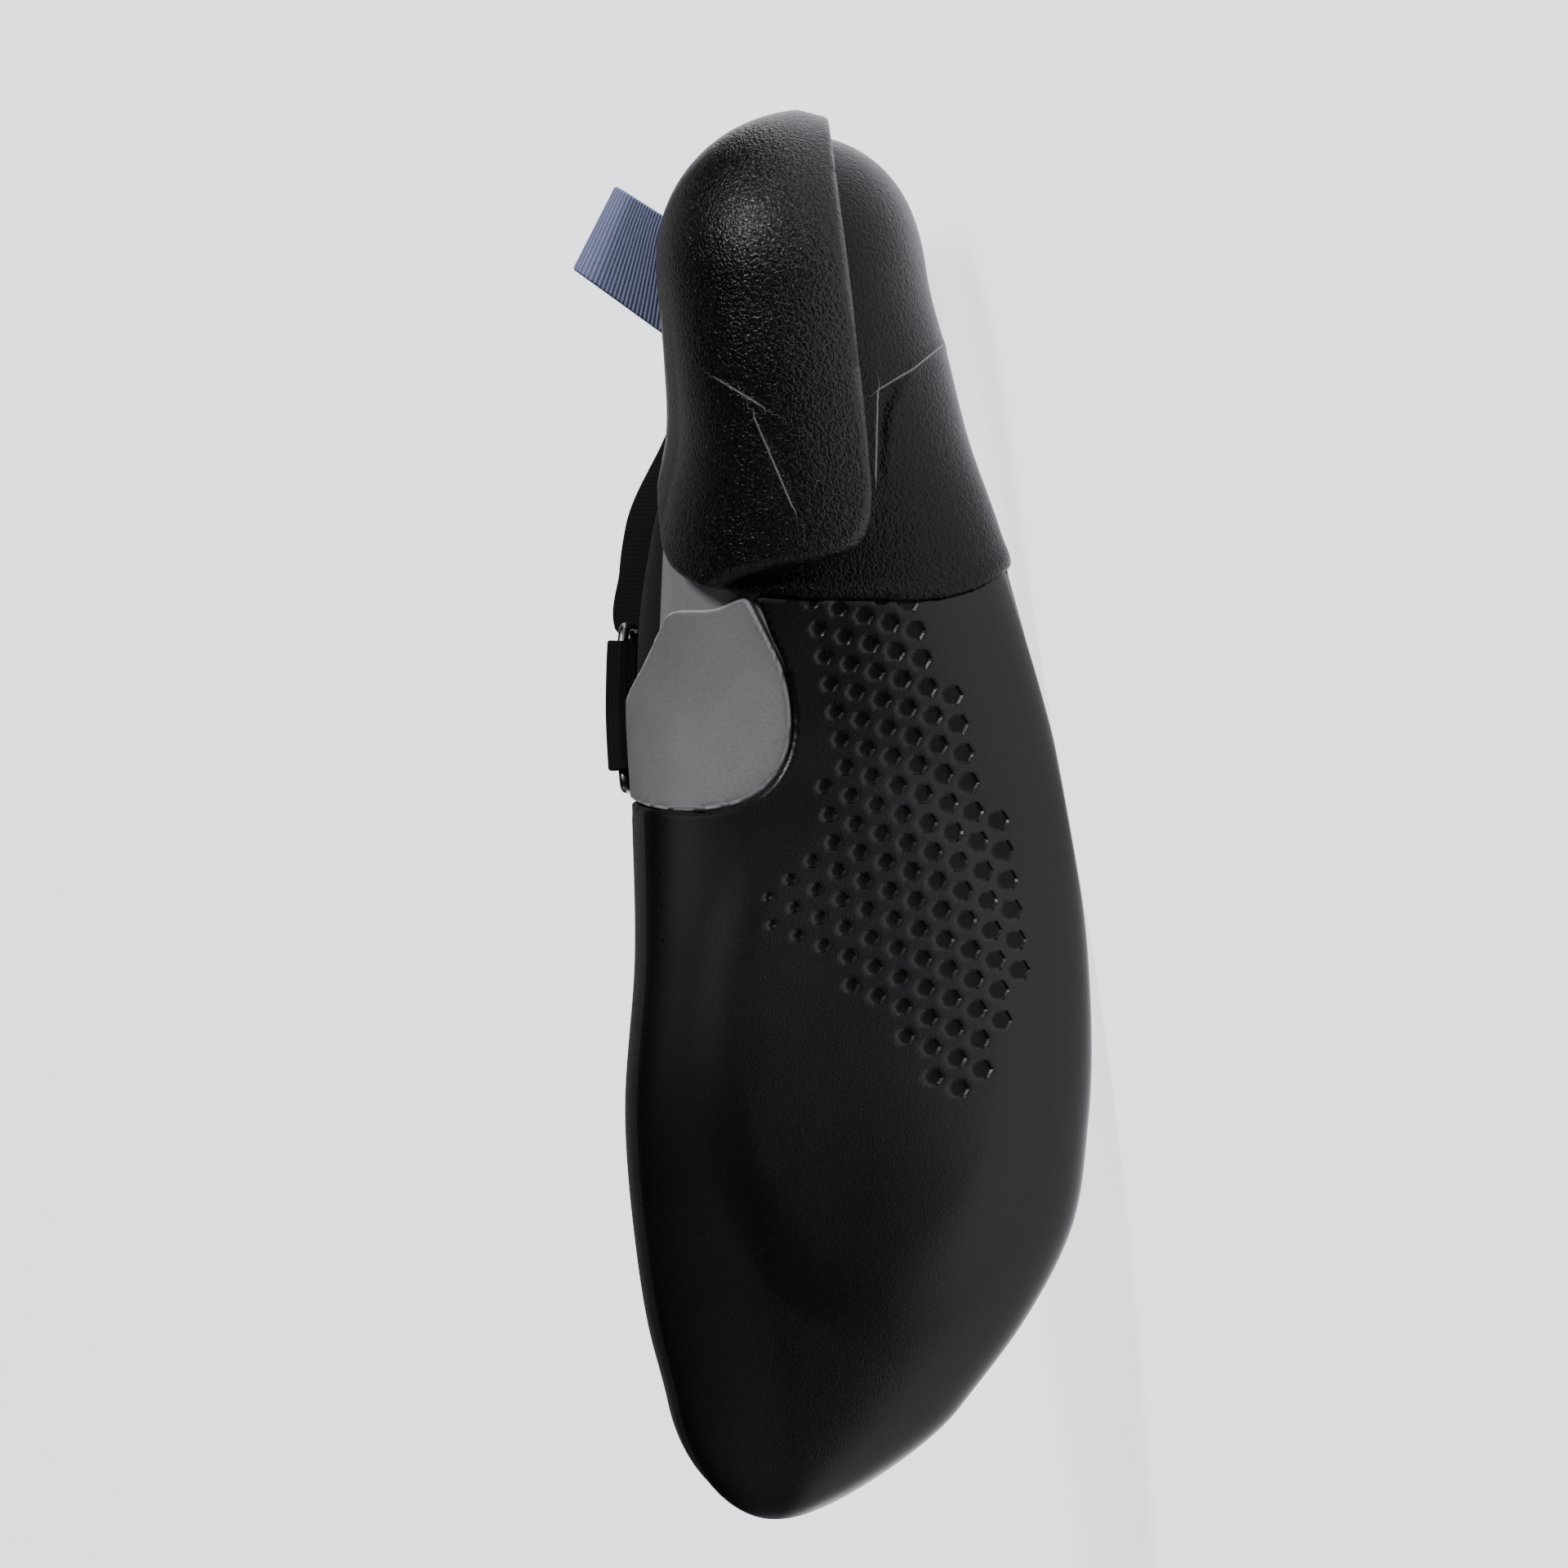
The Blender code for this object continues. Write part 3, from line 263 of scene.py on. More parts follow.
def ring(x, t, columns, toe_power=2.0):
    """Points of the closed section at x: four quarter superellipses, with line t running round
    them, 0 at the keel, 1 at the inner edge, -1 at the outer edge and 2 at the top."""
    t = (np.asarray(t, float) + 2) % 4 - 2
    inner = t >= 0
    above = np.abs(t) > 1
    angle = (np.abs(t) - above) * math.pi / 2
    side = np.where(inner, columns["med"], columns["lat"])
    side_z = np.where(inner, columns["med_z"], columns["lat_z"])
    low_power = np.where(inner, columns["med_n"], columns["lat_n"])
    power = np.where(above, np.where(inner, 2.0, OUTER_FLANK), low_power)
    cos, sin = np.cos(angle), np.sin(angle)
    reach = (np.abs(cos) ** power + np.abs(sin) ** power) ** (-1 / power)
    middle = np.where(above, columns["ridge"], columns["keel"])
    y = middle + (side - middle) * reach * np.where(above, cos, sin)
    z_above = side_z + (columns["top"] - side_z) * reach * sin
    z_below = side_z - (side_z - columns["low"]) * reach * cos
    z = np.where(above, z_above, z_below)
    back = x < LENGTH / 2
    pole_y = np.where(back, SECTIONS[0, 4], SECTIONS[-1, 4]) * BALL_WIDTH / 100
    pole_z = np.where(back, SECTIONS[0, 7], SECTIONS[-1, 7]) * INSTEP_HEIGHT / 100
    y = pole_y + (y - pole_y) * closing(x, HEEL_PLAN_ROUND, TOE_PLAN_ROUND)
    z = pole_z + (z - pole_z) * closing(x, HEEL_SIDE_ROUND, TOE_SIDE_ROUND, toe_power)
    return np.stack([x + 0 * t, y, z], axis=-1)


def body(x, t, lift=0.0):
    """Points lift millimetres outside the upper's outer face: the section's point plus lift times
    the normal, which is the cross product of the steps round and along the last."""
    x, t, lift = np.broadcast_arrays(np.asarray(x, float), np.asarray(t, float), lift)
    step = 1e-4
    span = TOE_X - HEEL_X

    def at(where, line):
        place = HEEL_X + span * (1 - np.cos(math.pi * where)) / 2
        return ring(place, line, sections(place))

    share = np.arccos(1 - 2 * np.clip((x - HEEL_X) / span, 0, 1)) / math.pi
    share = np.clip(share, 2 * step, 1 - 2 * step)
    along = at(share + step, t) - at(share - step, t)
    around = at(share, t + step) - at(share, t - step)
    normal = unit(np.cross(around, along))
    return ring(x, t, sections(x)) + normal * np.asarray(lift)[..., None]


def sole_face(x, t):
    """Walking face of the outsole: the section lowered by the rubber, squared at the inner edge
    and rolled up at the outer side, with a low dome under the ball of the foot."""
    x, t = np.broadcast_arrays(np.asarray(x, float), np.asarray(t, float))
    columns = sections(x)
    front = smooth((x - 0.34 * LENGTH) / (0.24 * LENGTH))
    depth = GAP + SOLE_WAIST + (SOLE_BALL - SOLE_WAIST) * front
    columns["low"] = columns["low"] - depth - 0.8 * np.exp(-((x - 0.7 * LENGTH) / 24) ** 2)
    columns["med"] = columns["med"] + GAP
    columns["lat"] = columns["lat"] - GAP - SOLE_SIDE
    columns["med_n"] = columns["med_n"] + 3.5
    points = ring(x, t, columns, toe_power=5.0)
    toe = np.clip((x - 0.8 * LENGTH) / (TOE_X - 0.8 * LENGTH), 0, 1)
    points[..., 0] += (GAP + TOE_EDGE) * toe ** 2
    return points


def sole_edges(x):
    """Lines of the outsole's inner and outer edges at x."""
    inner = 0.62 + 0.23 * np.clip((x - 0.88 * LENGTH) / (0.1 * LENGTH), 0, 1) ** 2
    return inner, -curve(x / LENGTH, *SOLE_OUTER.T)


def edge_height(table, x):
    """Height of a side edge at x."""
    return curve(x, table[:, 0] * LENGTH / 100, table[:, 1] * HEEL_HEIGHT / 100)


def line_at(x, height, inner):
    """Line t at which the section at x reaches a height above its widest point."""
    columns = sections(x)
    side = columns["med_z"] if inner else columns["lat_z"]
    pole = SECTIONS[0, 7] * INSTEP_HEIGHT / 100
    raised = pole + (height - pole) / closing(x, HEEL_SIDE_ROUND, TOE_SIDE_ROUND)
    up = np.clip((raised - side) / (columns["top"] - side), 0, 1)
    power = 2.0 if inner else OUTER_FLANK
    t = 1 + np.arctan2(up, (1 - up ** power) ** (1 / power)) / (math.pi / 2)
    return t if inner else -t


def rounded_outline(plan):
    """Closed outline through plan points by a uniform cubic, PER_SIDE points a side."""
    b = np.array(plan, float)[:, None]
    a, c, d = np.roll(b, 1, axis=0), np.roll(b, -1, axis=0), np.roll(b, -2, axis=0)
    w = (np.arange(PER_SIDE) / PER_SIDE)[None, :, None]
    points = 0.5 * (2 * b + (c - a) * w + (2 * a - 5 * b + 4 * c - d) * w ** 2
                    + (3 * b - a - 3 * c + d) * w ** 3)
    return points.reshape(-1, 2)


def grown(outline, distance):
    """Outline moved outwards by a distance along its own normals."""
    before, after = np.roll(outline, 1, axis=0), np.roll(outline, -1, axis=0)
    out = unit((after - before)[:, ::-1] * [1, -1])
    area = np.sum(outline[:, 0] * after[:, 1] - after[:, 0] * outline[:, 1])
    return outline + out * distance * np.sign(area)


def from_path(points, path):
    """Distance of plan points from an open line through path points."""
    a, b = np.array(path[:-1], float), np.array(path[1:], float)
    p = points.reshape(-1, 1, 2)
    run = b - a
    along = np.clip(np.sum((p - a) * run, axis=-1) / np.sum(run * run, axis=-1), 0, 1)
    gap = np.linalg.norm(p - a - along[..., None] * run, axis=-1).min(axis=1)
    return gap.reshape(points.shape[:-1])


def from_line(points, line):
    """Distance of plan points from a straight line, positive on the left of its run, and the share
    of the run that they have come."""
    start, run = np.array(line[0]), np.subtract(line[1], line[0])
    away = points - start
    length = np.hypot(*run)
    across = (run[0] * away[..., 1] - run[1] * away[..., 0]) / length
    return across, away @ run / length ** 2


def from_outline(points, outline):
    """Distance of plan points from a closed outline, positive inside it, where a ray from the
    point crosses the outline an odd number of times."""
    closed = np.concatenate([outline, outline[:1]])
    a, b = closed[:-1], closed[1:]
    p = points.reshape(-1, 1, 2)
    rise = np.where(a[:, 1] == b[:, 1], 1e-9, b[:, 1] - a[:, 1])
    crosses = (a[:, 1] > p[..., 1]) != (b[:, 1] > p[..., 1])
    where = a[:, 0] + (p[..., 1] - a[:, 1]) / rise * (b[:, 0] - a[:, 0])
    inside = np.sum(crosses & (p[..., 0] < where), axis=1) % 2 == 1
    gap = from_path(points, closed).ravel()
    return np.where(inside, gap, -gap).reshape(points.shape[:-1])


def even_lines(face, x, first, last, places):
    """Grid of stations and lines t that keep places, shares of the arc from line first to line
    last, and each station's arc. It is summed along 81 lines of the face and read backwards."""
    u = np.linspace(0, 1, 81)
    first, last = (np.broadcast_to(line, x.shape)[:, None] for line in (first, last))
    run = running(face(x[:, None], first + (last - first) * u))
    length = run[:, -1:]
    row = 2.0 * np.arange(len(x))[:, None]
    levels = np.where(length > 1e-6, run / np.maximum(length, 1e-6), u)
    found = np.interp((places + row).ravel(), (levels + row).ravel(), (u + 0 * row).ravel())
    t = first + (last - first) * found.reshape(len(x), len(places))
    return np.broadcast_to(x[:, None], t.shape).copy(), t, length


def graded(length, cell):
    """Shares from 0 to 1 along a length, cells of one size with finer ones at both ends."""
    rounding = 0.8
    ends = np.array([0.0, 0.12, 0.3, 0.6, 1.0]) * rounding
    count = max(int((length - 2 * rounding) / cell), 2)
    middle = np.linspace(rounding, length - rounding, count + 1)
    return np.concatenate([ends[:-1], middle, (length - ends)[-2::-1]]) / length


def snapped(x, t, inside):
    """Grid with the line inside = 0 through its points: each grid edge that crosses the line has
    its nearer end moved along the edge onto it. Returns x, t and the side of every point."""
    best = np.full(x.shape, 0.5001)
    new_x, new_t, side = x.copy(), t.copy(), np.sign(inside)
    low, high, every = slice(None, -1), slice(1, None), slice(None)
    for here, there in (((low,), (high,)), ((high,), (low,)),
                        ((every, low), (every, high)), ((every, high), (every, low))):
        a, b = inside[here], inside[there]
        share = np.where(a * b < 0, a / np.where(a == b, 1, a - b), 9.0)
        near = share < best[here]
        best[here] = np.where(near, share, best[here])
        new_x[here] = np.where(near, x[here] + share * (x[there] - x[here]), new_x[here])
        new_t[here] = np.where(near, t[here] + share * (t[there] - t[here]), new_t[here])
        side[here] = np.where(near, 0, side[here])
    return new_x, new_t, side


def trimmed(x, t, inside):
    """Grid snapped to the line inside(x, t) = 0, the side of its points and how far in they lie."""
    x, t, side = snapped(x, t, inside(x, t))
    return x, t, side, np.where(side == 0, 0, inside(x, t))


def lined_up(x, t, lift, lines):
    """Grid with straight plan lines through its points, on the last lifted by lift(x, t)."""
    for line in lines:
        across, along = from_line(body(x, t, lift(x, t))[..., :2], line)
        x, t, _ = snapped(x, t, np.where((along > -0.02) & (along < 1.02), across, FAR))
    return x, t


def near_lines(plan, lines):
    """Distance of plan points from the nearest of several lines, below zero on its right."""
    gaps = np.stack([from_path(plan, line) for line in lines])
    right = np.stack([from_line(plan, line)[0] < 0 for line in lines])
    near = gaps.argmin(axis=0)[None]
    sign = 1 - 2 * np.take_along_axis(right, near, axis=0)[0]
    return sign * gaps.min(axis=0)


def softened(outer, inner, edge, rounding):
    """Outer face let down towards the inner one near its edge, by the rise of a quarter circle."""
    near = rounding - np.clip(edge, 0, rounding)
    drop = rounding - np.sqrt(rounding ** 2 - near ** 2)
    return outer + unit(inner - outer, 1e-6) * drop[..., None]


def rolled(face, back, edge, rounding):
    """Both faces of a sheet let down towards each other near its edge."""
    return softened(face, back, edge, rounding), softened(back, face, edge, rounding)


def laid_down(points):
    """Standing millimetres to lying metres. What would lie under the floor is pressed on to it,
    with height (z + sqrt(z^2 + e^2)) / 2."""
    yaw, roll = math.tan(math.radians(LIE_YAW)), math.tan(math.radians(LIE_ROLL))
    up = unit(np.array([yaw, 1.0, -roll]))
    side = unit(np.array([-1.0, 0.0, 0.0]) + up * up[0])
    turn = np.stack([side, np.cross(up, side), up])
    laid = points @ turn.T + LIE_PLACE
    laid[..., 2] = 0.5 * (laid[..., 2] + np.sqrt(laid[..., 2] ** 2 + LIE_PRESS ** 2))
    return laid * 0.001


def mesh_piece(name, points, triangles, materials, uv=None, kinds=None, fields=None, crease=40):
    """Object of a triangle mesh, with unused points dropped, UVs and fields given by point."""
    used, flat = np.unique(triangles, return_inverse=True)
    flat = flat.ravel().astype(np.int32)
    places = laid_down(points[used])
    corners = places[flat].reshape(-1, 3, 3)
    volume = np.sum(corners[:, 0] * np.cross(corners[:, 1], corners[:, 2]))
    if volume < 0:
        flat = flat.reshape(-1, 3)[:, ::-1].ravel()
    mesh = bpy.data.meshes.new(name)
    mesh.vertices.add(len(places))
    mesh.vertices.foreach_set("co", places.ravel())
    mesh.loops.add(len(flat))
    mesh.loops.foreach_set("vertex_index", flat)
    mesh.polygons.add(len(flat) // 3)
    mesh.polygons.foreach_set("loop_start", np.arange(0, len(flat), 3, dtype=np.int32))
    if kinds is not None:
        mesh.polygons.foreach_set("material_index", kinds.astype(np.int32))
    if uv is not None:
        layer = mesh.uv_layers.new(name="UVMap")
        layer.data.foreach_set("uv", uv[used][flat].ravel())
    for title, values in (fields or {}).items():
        field = mesh.attributes.new(title, "FLOAT", "POINT")
        field.data.foreach_set("value", values[used].astype(np.float32))
    mesh.update(calc_edges=True)
    mesh.validate()
    for material in materials:
        mesh.materials.append(material)
    mesh.shade_smooth()
    mesh.set_sharp_from_angle(angle=math.radians(crease))
    made = bpy.data.objects.new(name, mesh)
    bpy.context.scene.collection.objects.link(made)
    return made


def quads_of(index):
    """Corners of the quads between neighbouring rows and columns of an index grid."""
    corners = [index[:-1, :-1], index[:-1, 1:], index[1:, 1:], index[1:, :-1]]
    return np.stack(corners, axis=-1).reshape(-1, 4)


def shell(name, outer, inner, materials, side=None, wrap=False, uv=None, fields=None, crease=40):
    """Closed wall between two grids. Quads with a point on the far side of the trim line are left
    out, halved where the line runs along their diagonal, and the open rims are walled. The second
    material, if there is one, lines the inside."""
    rows, cols = outer.shape[:2]
    count = rows * cols
    index = np.arange(count).reshape(rows, cols)
    if wrap:
        index[:, -1] = index[:, 0]
    for row in (0, -1):
        if np.ptp(outer[row], axis=0).max() < POLE_SIZE:
            index[row] = index[row, 0]
    quads = quads_of(index)
    side = np.ones(count) if side is None else side.ravel()
    lowest, highest = side[quads].min(axis=1), side[quads].max(axis=1)
    whole = quads[(lowest >= 0) & (highest > 0)]
    mixed = quads[(lowest < 0) & (highest > 0)]
    corner = np.argmax(side[mixed], axis=1)[:, None]
    halves = np.take_along_axis(mixed, (corner + np.array([[-1, 0, 1]])) % 4, axis=1)
    face = np.concatenate([whole[:, [0, 1, 2]], whole[:, [0, 2, 3]], halves])
    face = face[(face != face[:, [1, 2, 0]]).all(axis=1)]
    edges = np.concatenate([face[:, [0, 1]], face[:, [1, 2]], face[:, [2, 0]]])
    one_way, other_way = edges @ np.array([count, 1]), edges @ np.array([1, count])
    a, b = edges[~np.isin(one_way, other_way)].T
    walls = np.concatenate([np.stack(corners, axis=1)
                            for corners in ((b, a, a + count), (b, a + count, b + count))])
    triangles = np.concatenate([face, face[:, ::-1] + count, walls])
    kinds = None
    if len(materials) > 1:
        kinds = np.repeat([0, 1, 0], [len(face), len(face), len(walls)])
    twice = None if uv is None else np.concatenate([uv.reshape(-1, 2)] * 2)
    fields = {key: np.concatenate([value.ravel()] * 2) for key, value in (fields or {}).items()}
    points = np.concatenate([outer.reshape(-1, 3), inner.reshape(-1, 3)])
    return mesh_piece(name, points, triangles, materials, twice, kinds, fields, crease)


def tube(name, rings, materials, uv=None, closed=False):
    """Skin through a row of rings, its two ends closed by fans or, when closed, joined."""
    count, around = rings.shape[:2]
    index = np.arange(count * around).reshape(count, around)
    index = np.concatenate([index, index[:, :1]], axis=1)
    if closed:
        index = np.concatenate([index, index[:1]])
    quads = quads_of(index)
    triangles = [quads[:, [0, 1, 2]], quads[:, [0, 2, 3]]]
    points = rings.reshape(-1, 3)
    uv = None if uv is None else uv.reshape(-1, 2)
    if not closed:
        for end, centre, order in ((index[0], len(points), -1), (index[-1], len(points) + 1, 1)):
            fan = np.stack([end[:-1], end[1:], np.full(around, centre)], axis=1)
            triangles.append(fan[:, ::order])
        points = np.concatenate([points, rings[[0, -1]].mean(axis=1)])
        uv = None if uv is None else np.concatenate([uv, uv[[0, -1]]])
    return mesh_piece(name, points, np.concatenate(triangles), materials, uv, crease=50)


def carried(piece, node):
    """Put a piece on the shoe in place of its solid, which is hidden."""
    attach(piece, "root")
    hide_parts(node)


# Finishes


def linear(colour):
    """Linear colour from an sRGB hex value."""
    levels = [int(colour[i:i + 2], 16) / 255 for i in (0, 2, 4)]
    return (*(c / 12.92 if c <= 0.04045 else ((c + 0.055) / 1.055) ** 2.4 for c in levels), 1.0)


def join(tree, node, links):
    """Give a node's inputs their values or links."""
    for name, value in links.items():
        if isinstance(value, bpy.types.NodeSocket):
            tree.links.new(value, node.inputs[name])
        else:
            node.inputs[name].default_value = value


def add(tree, kind, links=None, out=0, **settings):
    """An output of a new node, which has these settings and these values or links as inputs."""
    made = tree.nodes.new("ShaderNode" + kind)
    for name, value in settings.items():
        setattr(made, name, value)
    join(tree, made, links or {})
    return made.outputs[out]


def finish(name):
    """New material, its tree and its Principled shader."""
    made = bpy.data.materials.new(name)
    made.use_nodes = True
    return made, made.node_tree, made.node_tree.nodes["Principled BSDF"]


def blended(tree, factor, dark, light):
    """Colour between two by a factor: sRGB hex values, the first also another node's output."""
    first = linear(dark) if isinstance(dark, str) else dark
    return add(tree, "Mix", {"Factor": factor, 6: first, 7: linear(light)}, 2, data_type="RGBA")


def ranged(tree, value, low, high, to_low=0.0, to_high=1.0):
    """A value mapped from one range to another."""
    links = {"Value": value, "From Min": low, "From Max": high, "To Min": to_low, "To Max": to_high}
    return add(tree, "MapRange", links)


def climbing_rubber():
    """Pressed sheet rubber: near black and satin, with a very fine speckle and dusty clouds,
    scuffed dull along the inner edge, and with less gloss down in the flat-bottomed dimples as a
    painted shade for those recesses, as the fields from_inner and inset say."""
    made, tree, shader = finish("pressed_climbing_rubber")
    where = add(tree, "TexCoord", out="Object")
    speck = add(tree, "TexNoise", {"Vector": where, "Scale": 2600.0, "Detail": 2.0})
    cloud = add(tree, "TexNoise", {"Vector": where, "Scale": 26.0, "Detail": 4.0})
    inset = add(tree, "Attribute", out="Fac", attribute_name="inset")
    inner = add(tree, "Attribute", out="Fac", attribute_name="from_inner")
    links = {0: ranged(tree, speck, 0.58, 0.76, 0.0, 0.7),
             1: ranged(tree, cloud, 0.35, 0.75, 0.0, 0.3)}
    dust = add(tree, "Math", links, operation="ADD")
    # Less specular down in the dimples and dots, where inset is deep: painted shade for the
    # recesses; less along the inner edge, for scuffing.
    links = {0: ranged(tree, inset, 0.3, 0.6, 0.22, 0.09),
             1: ranged(tree, inner, 5.0, 26.0, 0.07, 0.22)}
    gloss = add(tree, "Math", links, operation="MINIMUM")
    links = {0: ranged(tree, cloud, 0.3, 0.7, 0.29, 0.35),
             1: ranged(tree, inner, 5.0, 24.0, 0.66, 0.29)}
    dull = add(tree, "Math", links, operation="MAXIMUM")
    tooth = add(tree, "Bump", {"Height": speck, "Strength": 0.35, "Distance": 0.0001})
    links = {"Height": ranged(tree, inset, 0.0, 0.42, 1.0, 0.0), "Strength": 1.0,
             "Distance": 0.00025, "Normal": tooth}
    join(tree, shader, {
        "IOR": 1.5, "Base Color": blended(tree, dust, "030303", "141415"),
        "Specular IOR Level": gloss, "Roughness": dull,
        "Normal": add(tree, "Bump", links)})
    return made


def heel_rubber(name, gloss):
    """Moulded rubber from a grained tool: black, with wormy pebbles under 1 mm across that show
    where light glances over them, and a painted grey highlight along creases, from which the fields
    crease and fold give the distance; gloss is its share of mirror, more on the pad than on the
    cup."""
    made, tree, shader = finish(name)
    where = add(tree, "TexCoord", out="Object")
    links = {"Vector": where, "Scale": 1700.0, "Detail": 0.6, "Distortion": 0.7}
    pebble = add(tree, "TexNoise", links)
    cloud = add(tree, "TexNoise", {"Vector": where, "Scale": 30.0, "Detail": 3.0})
    near = {}
    for i, field in enumerate(("crease", "fold")):
        gap = add(tree, "Attribute", out="Fac", attribute_name=field)
        near[i] = add(tree, "Math", {0: gap}, operation="ABSOLUTE")
    # Grey painted along the creases and folds: a painted highlight for their sharp edges.
    painted_crease_highlight = ranged(tree, add(tree, "Math", near, operation="MINIMUM"), 0.22, 0.1)
    black = blended(tree, ranged(tree, pebble, 0.35, 0.65), "040404", "0C0C0D")
    links = {"Height": ranged(tree, pebble, 0.3, 0.7), "Strength": 1.0, "Distance": 0.00012}
    join(tree, shader, {
        "IOR": 1.5, "Specular IOR Level": gloss,
        "Base Color": blended(tree, painted_crease_highlight, black, "58585A"),
        "Roughness": ranged(tree, cloud, 0.3, 0.7, 0.3, 0.37),
        "Normal": add(tree, "Bump", links)})
    return made


def rand_rubber():
    """Calendered rand rubber: thin black sheet, satin, with a fine tooth and dusty clouds."""
    made, tree, shader = finish("calendered_rand_rubber")
    where = add(tree, "TexCoord", out="Object")
    fine = add(tree, "TexNoise", {"Vector": where, "Scale": 1500.0, "Detail": 3.0})
    cloud = add(tree, "TexNoise", {"Vector": where, "Scale": 28.0, "Detail": 3.0})
    dust = ranged(tree, cloud, 0.3, 0.7)
    links = {"Height": fine, "Strength": 0.3, "Distance": 0.0001}
    join(tree, shader, {
        "IOR": 1.5, "Specular IOR Level": 0.45,
        "Base Color": blended(tree, dust, "0A0A0B", "131314"),
        "Roughness": ranged(tree, fine, 0.3, 0.7, 0.45, 0.6),
        "Normal": add(tree, "Bump", links)})
    return made


def grey_nap(name, dark, light, tuft, depth, field=None, reach=None, other=None):
    """Brushed fibre surface: matt grey that shifts with the lie of its nap, tufts tuft mm wide,
    with another colour where a field of the piece, in millimetres, is within reach."""
    made, tree, shader = finish(name)
    where = add(tree, "TexCoord", out="Object")
    links = {"Vector": where, "Scale": 1000.0 / tuft, "Detail": 4.0, "Roughness": 0.65}
    fibre = add(tree, "TexNoise", links)
    links = {"Vector": where, "Scale": 55.0, "Detail": 3.0, "Distortion": 0.6}
    links = {"Factor": 0.4, "A": fibre, "B": add(tree, "TexNoise", links)}
    brushed = add(tree, "Mix", links, data_type="FLOAT")
    colour = blended(tree, ranged(tree, brushed, 0.34, 0.66), dark, light)
    if field:
        near = add(tree, "Attribute", out="Fac", attribute_name=field)
        colour = blended(tree, ranged(tree, near, reach[1], reach[0]), colour, other)
    links = {"Height": fibre, "Strength": 0.5, "Distance": depth}
    join(tree, shader, {
        "IOR": 1.45, "Specular IOR Level": 0.15, "Roughness": 0.92,
        "Sheen Weight": 0.05, "Sheen Roughness": 0.5, "Base Color": colour,
        "Normal": add(tree, "Bump", links)})
    return made


def woven(name, dark, light, ribs, rib, bead, depth):
    """Woven webbing or knit: ribs rib mm apart, counted along the UV axis named, each broken into
    beads bead mm long by the crossing yarn."""
    made, tree, shader = finish(name)
    where = add(tree, "UVMap", uv_map="UVMap")
    links = {"Vector": where, "Scale": BAND_SCALE / rib, "Distortion": 0.2, "Detail": 1.0,
             "Detail Scale": 2.0}
    wave = add(tree, "TexWave", links, "Fac", bands_direction=ribs)
    links = {"Vector": where, "Scale": BAND_SCALE / bead}
    yarn = add(tree, "TexWave", links, "Fac", bands_direction="X" if ribs == "Y" else "Y")
    cross = add(tree, "Math", {0: wave, 1: yarn}, operation="MULTIPLY")
    height = add(tree, "Math", {0: wave, 1: cross}, operation="ADD")
    fuzz = add(tree, "TexNoise", {"Vector": where, "Scale": 3.0, "Detail": 4.0})
    level = add(tree, "Mix", {"Factor": 0.3, "A": height, "B": fuzz}, data_type="FLOAT")
    colour = blended(tree, ranged(tree, level, 0.15, 1.0), dark, light)
    links = {"Height": height, "Strength": 0.8, "Distance": depth}
    join(tree, shader, {
        "IOR": 1.5, "Specular IOR Level": 0.12, "Roughness": 0.85,
        "Sheen Weight": 0.02, "Sheen Roughness": 0.4, "Base Color": colour,
        "Normal": add(tree, "Bump", links)})
    return made


def open_mesh(name, dark, light, cell):
    """Padded spacer mesh: dull textile with a hole every cell mm."""
    made, tree, shader = finish(name)
    where = add(tree, "TexCoord", out="Object")
    links = {"Vector": where, "Scale": 1000.0 / cell, "Randomness": 0.2}
    level = ranged(tree, add(tree, "TexVoronoi", links, "Distance"), 0.18, 0.4)
    links = {"Height": level, "Strength": 0.7, "Distance": 0.0003}
    join(tree, shader, {
        "IOR": 1.45, "Specular IOR Level": 0.2, "Roughness": 0.9,
        "Sheen Weight": 0.2, "Base Color": blended(tree, level, dark, light),
        "Normal": add(tree, "Bump", links)})
    return made


def bright_wire():
    """Drawn steel wire, plated: bright, with faint drawing lines and small scratches."""
    made, tree, shader = finish("drawn_steel_wire")
    where = add(tree, "TexCoord", out="Object")
    scratch = add(tree, "TexNoise", {"Vector": where, "Scale": 900.0, "Detail": 5.0})
    join(tree, shader, {
        "Metallic": 1.0, "Base Color": blended(tree, scratch, "5E5E60", "8A8A8C"),
        "Roughness": ranged(tree, scratch, 0.3, 0.7, 0.2, 0.38)})
    return made


sole_finish = climbing_rubber()
cup_finish = heel_rubber("moulded_cup_rubber", 0.13)
pad_finish = heel_rubber("moulded_pad_rubber", 0.26)
rand_finish = rand_rubber()
upper_finish = grey_nap("grey_microfibre", "6E6E70", "848486", 0.35, 0.00012,
        "black_side", (0.1, -0.1), "0C0C0D")
suede_finish = grey_nap("grey_suede", "5F5F60", "757576", 0.35, 0.00012,
        "from_edge", (0.3, 0.6), "9C9C9D")
lining_finish = open_mesh("black_lining_mesh", "121213", "2A2A2C", 1.3)
tongue_finish = open_mesh("black_spacer_mesh", "0D0D0E", "29292B", 1.8)
board_finish = grey_nap("insole_fleece", "2E2E30", "434346", 0.5, 0.0002)
knit_finish = woven("black_rib_knit", "0A0A0B", "121213", "X", 0.8, 0.6, 0.00003)
piping_finish = woven("black_binding_tape", "111112", "222224", "X", 0.5, 0.5, 0.00006)
strap_finish = woven("black_webbing", "070708", "131315", "Y", 0.9, 0.6, 0.00012)
loop_finish = woven("blue_webbing", "5E6285", "8E93B4", "Y", 0.7, 0.37, 0.0001)
ring_finish = bright_wire()


# Pieces


